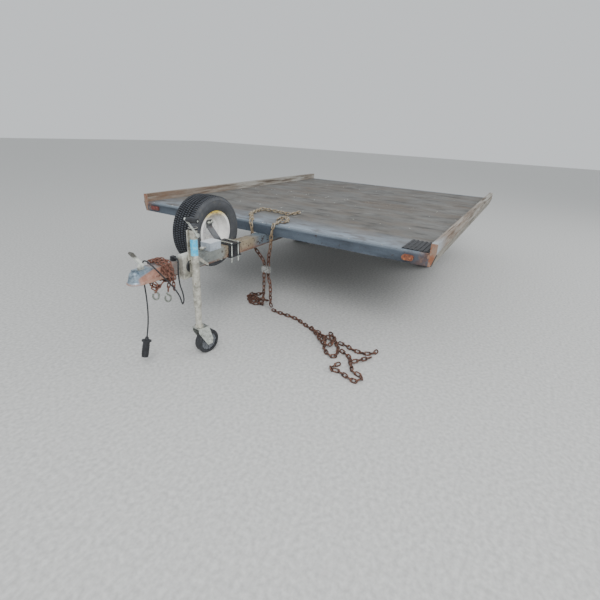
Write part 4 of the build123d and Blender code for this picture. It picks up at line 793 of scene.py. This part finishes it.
def label_shape(steps=28):
    """A strip round part of the tube, with its own thickness at the edges."""
    points, faces = [], []
    inner, outer = TUBE_R - LABEL_SUNK, TUBE_R + LABEL_PROUD
    for i in range(steps + 1):
        angle = LABEL_FROM + (LABEL_TO - LABEL_FROM) * i / steps
        for r, z in ((inner, LABEL_LOW), (outer, LABEL_LOW), (outer, LABEL_HIGH), (inner, LABEL_HIGH)):
            points.append((r * cos(angle), r * sin(angle), (z - LABEL_LOW) / 1000))
        if i:
            low, high = (i - 1) * 4, i * 4
            faces += [(low + s, high + s, high + (s + 1) % 4, low + (s + 1) % 4) for s in range(4)]
    last = len(points) - 1
    return points, faces + [(0, 1, 2, 3), (last, last - 1, last - 2, last - 3)]


piece("jack_label", join([(label_shape(), Matrix.Translation(at(*JACK, LABEL_LOW)))]), "grey_plastic", "jack",
      finish=LABEL)

# The cap closes the tube's top, and the seal lies round the pivot ring: each is a profile that is turned.
CAP = [(0, 0.0005), (0.022, 0.0005), (0.0262, -0.002), (0.0262, -0.0105), (0.0228, -0.012)]
PIVOT_Z, RING_Y = 572, 74.1
SEAL = [(0.0315, 0.0), (0.037, 0.0), (0.037, 0.0050), (0.035, 0.0070), (0.0315, 0.0075)]
low, high = (Vector(corner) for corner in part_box("jack_outer_tube"))
tube_top = at(*JACK, 0)
tube_top.z = high.z
piece("jack_cap", join([(turned(CAP, 40), Matrix.Translation(tube_top))]), "black_rubber", "jack")
ring = aimed(at(JACK[0], RING_Y, PIVOT_Z), (0, 1, 0))
piece("pivot_seal", join([(turned(SEAL, 48), ring)]), "black_rubber", "tongue")
print("label height", LABEL_HIGH - LABEL_LOW, "mm")

# %% The jack wheel's spokes and axle nuts
# TRAIL is how far the wheel's axle lies behind the swivel, and CASTER_TURN how far the caster is turned.
TRAIL, CASTER_TURN, WHEEL_Z = 52, radians(-8), 76
SPOKES, SPOKE_IN, SPOKE_OUT, SPOKE_HALF = 8, 0.0195, 0.0565, 0.0025
SPOKE_LOW, SPOKE_HIGH = 0.016, 0.022
AXLE_NUT_FLATS, AXLE_NUT_HEIGHT, AXLE_NUT_AT = 0.017, 0.0032, 0.034

wheel_middle = at(JACK[0] - TRAIL * cos(CASTER_TURN), JACK[1] - TRAIL * sin(CASTER_TURN), WHEEL_Z)
axle_way = Vector((-sin(CASTER_TURN), cos(CASTER_TURN), 0))
corners = [(x, y, z) for x in (SPOKE_IN, SPOKE_OUT) for y in (-SPOKE_HALF, SPOKE_HALF)
           for z in (SPOKE_LOW, SPOKE_HIGH)]
spoke = (corners, [(0, 1, 3, 2), (4, 6, 7, 5), (0, 4, 5, 1), (2, 3, 7, 6), (0, 2, 6, 4), (1, 5, 7, 3)])
axle_nut = hexagon(AXLE_NUT_FLATS, AXLE_NUT_HEIGHT)
spoke_parts, nuts = [], []
for side in (1, -1):
    spoke_parts += [(spoke, aimed(wheel_middle, axle_way * side, 2 * pi * i / SPOKES)) for i in range(SPOKES)]
    nuts.append((axle_nut, aimed(wheel_middle + axle_way * side * AXLE_NUT_AT, axle_way * side)))
piece("jack_wheel_spokes", join(spoke_parts), "grey_plastic", "jack_wheel")
piece("jack_axle_nuts", join(nuts), "bright_zinc", "jack_caster")
print("spokes", len(spoke_parts))

# %% [markdown]
# ## Nuts, screws and a mat
# Fasteners tell the eye how large a thing is. Nuts sit on the U-bolts, on the arm that holds the spare and on
# the wheels, countersunk screws hold the deck down, and a dark ribbed mat lies at the deck's front corner.

# %% Nuts
# Nuts under the clamp plate, on the arm's two studs and on the wheels. A nut has its flats and its height.
U_NUT, ARM_NUT, WHEEL_NUT = hexagon(0.0186, 0.0094), hexagon(0.019, 0.012), hexagon(0.0195, 0.0162)
U_X, U_Y, TONGUE_LOW, PLATE = (322, 388), (-43.1, 47.1), 528.3, 6
ARM_NUT_SPREAD, ARM_X, ARM_FACE_Y, ARM_NUT_Z = 13, 366, -158, 722
STUD = turned([(0, 0), (0.005, 0), (0.005, 0.02), (0, 0.021)], 16)
LUG_CIRCLE, LUGS, DISC_FACE = 0.05715, 5, 0.024   # the nuts' distance from the axle, number and seat

u_nuts = [(U_NUT, aimed(at(x, y, TONGUE_LOW - PLATE), (0, 0, -1))) for x in U_X for y in U_Y]
piece("u_bolt_nuts", join(u_nuts), "bright_zinc", "tongue")
arm_low, arm_high = (Vector(corner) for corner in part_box("carrier_arm"))
studs = [aimed(at(ARM_X + side * ARM_NUT_SPREAD, ARM_FACE_Y, ARM_NUT_Z), (0, 1, 0)) for side in (1, -1)]
arm_nuts = [(shape, place) for shape in (ARM_NUT, STUD) for place in studs]
piece("spare_wheel_nuts", join(arm_nuts), "bright_zinc", "tongue")
for side, word in ((1, "left"), (-1, "right")):
    low, high = (Vector(corner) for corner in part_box("tyre_" + word))
    middle = (low + high) / 2
    parts = []
    for i in range(LUGS):
        angle = radians(90 + i * 360 / LUGS)
        place = middle + Vector((LUG_CIRCLE * cos(angle), side * DISC_FACE, LUG_CIRCLE * sin(angle)))
        parts.append((WHEEL_NUT, aimed(place, (0, side, 0))))
    piece("wheel_nuts_" + word, join(parts), "bright_zinc", "wheel_" + word)
print("nuts", len(u_nuts), "on the U-bolts,", len(studs), "on the arm,", LUGS, "on each wheel")
print("arm spans", [round(v, 3) for v in (*arm_low, *arm_high)])

# %% Deck screws
# A row lies over each channel and cross member, and on both sides of the joint between the deck's sheets.
# The screws aren't driven quite in line.
BED_LENGTH, BED_HALF, SIDE_INSET, FRONT_ROW = 3048, 1219, 60, -19
ROW_SHARES, SCREWS = (0.206, 0.406, 0.49, 0.51, 0.806, 0.988), 11
STRAY_X, STRAY_Y = 4, 9
screw = turned([(0, 0.0004), (0.0045, 0.0004), (0.0052, -0.0002)], 12)
parts = []
for x in (FRONT_ROW, *(-share * BED_LENGTH for share in ROW_SHARES)):
    for i in range(SCREWS):
        y = (i / (SCREWS - 1) - 0.5) * 2 * (BED_HALF - SIDE_INSET)
        place = at(x + random.uniform(-STRAY_X, STRAY_X), y + random.uniform(-STRAY_Y, STRAY_Y), DECK_Z)
        parts.append((screw, Matrix.Translation(place)))
piece("deck_screws", join(parts), "galvanised", "bed")
print("screws", len(parts))

# %% Ribbed mat at the deck's front corner
MAT_X, MAT_Y, MAT_THICK, MAT_RIBS = (-270, -22), (1040, 1206), 4, 6
RIB_FOOT, RIB_SHOULDER = 0.2, 0.3   # as shares of a rib's pitch
pitch = (MAT_Y[1] - MAT_Y[0]) / MAT_RIBS
section = [(MAT_Y[0], 0)]
for i in range(MAT_RIBS):
    y = MAT_Y[0] + i * pitch
    section += [(y + RIB_FOOT * pitch, MAT_THICK), (y + RIB_SHOULDER * pitch, 2 * MAT_THICK),
                (y + (1 - RIB_SHOULDER) * pitch, 2 * MAT_THICK), (y + (1 - RIB_FOOT) * pitch, MAT_THICK)]
section += [(MAT_Y[1], MAT_THICK), (MAT_Y[1], 0)]
mat_points = [at(x, y, DECK_Z + z) for x in MAT_X for y, z in section]
count = len(section)
mat_faces = [(i, (i + 1) % count, count + (i + 1) % count, count + i) for i in range(count)]
mat_faces += [tuple(reversed(range(count))), tuple(range(count, 2 * count))]
piece("ribbed_corner_mat", (mat_points, mat_faces), "black_rubber", "bed", sharp=25)
print("mat ribs", MAT_RIBS)

# %% [markdown]
# ## Light and floor
# A plain pale floor and two large soft lights stand in for an overcast day.

# %% Floor
FLOOR_HALF = 30
floor_mat = surface("pale_floor", "#c9c9c7", 0.9, grain=0.02, bump=0.0)
floor_mesh = bpy.data.meshes.new("floor")
floor_corners = [(x * FLOOR_HALF, y * FLOOR_HALF, 0) for x, y in ((-1, -1), (1, -1), (1, 1), (-1, 1))]
floor_mesh.from_pydata(floor_corners, [], [(0, 1, 2, 3)])
floor_mesh.materials.append(floor_mat)
floor = bpy.data.objects.new("floor", floor_mesh)
bpy.context.collection.objects.link(floor)
print("floor", 2 * FLOOR_HALF, "m wide")

# %% Sky and lamps
SKY_STRENGTH = 0.92

# Each lamp's name, place, the point it is aimed at, its width in metres and its power in watts.
LAMPS = (("key", (5.5, 3.5, 5.5), (0.5, 0, 0.3), 4.0, 370), ("fill", (-3, 5, 4.5), (0, 0, 0.4), 5.0, 120))
world = bpy.data.worlds.new("sky")
bpy.context.scene.world = world
world.use_nodes = True
world.node_tree.nodes["Background"].inputs["Color"].default_value = colour("#eaeef1")
world.node_tree.nodes["Background"].inputs["Strength"].default_value = SKY_STRENGTH
for name, place, target, size, power in LAMPS:
    lamp = bpy.data.lights.new(name, "AREA")
    lamp.size, lamp.energy = size, power
    holder = bpy.data.objects.new(name, lamp)
    bpy.context.collection.objects.link(holder)
    holder.location = place
    holder.rotation_euler = (Vector(target) - Vector(place)).to_track_quat("-Z", "Y").to_euler()
print("lights", len(LAMPS))
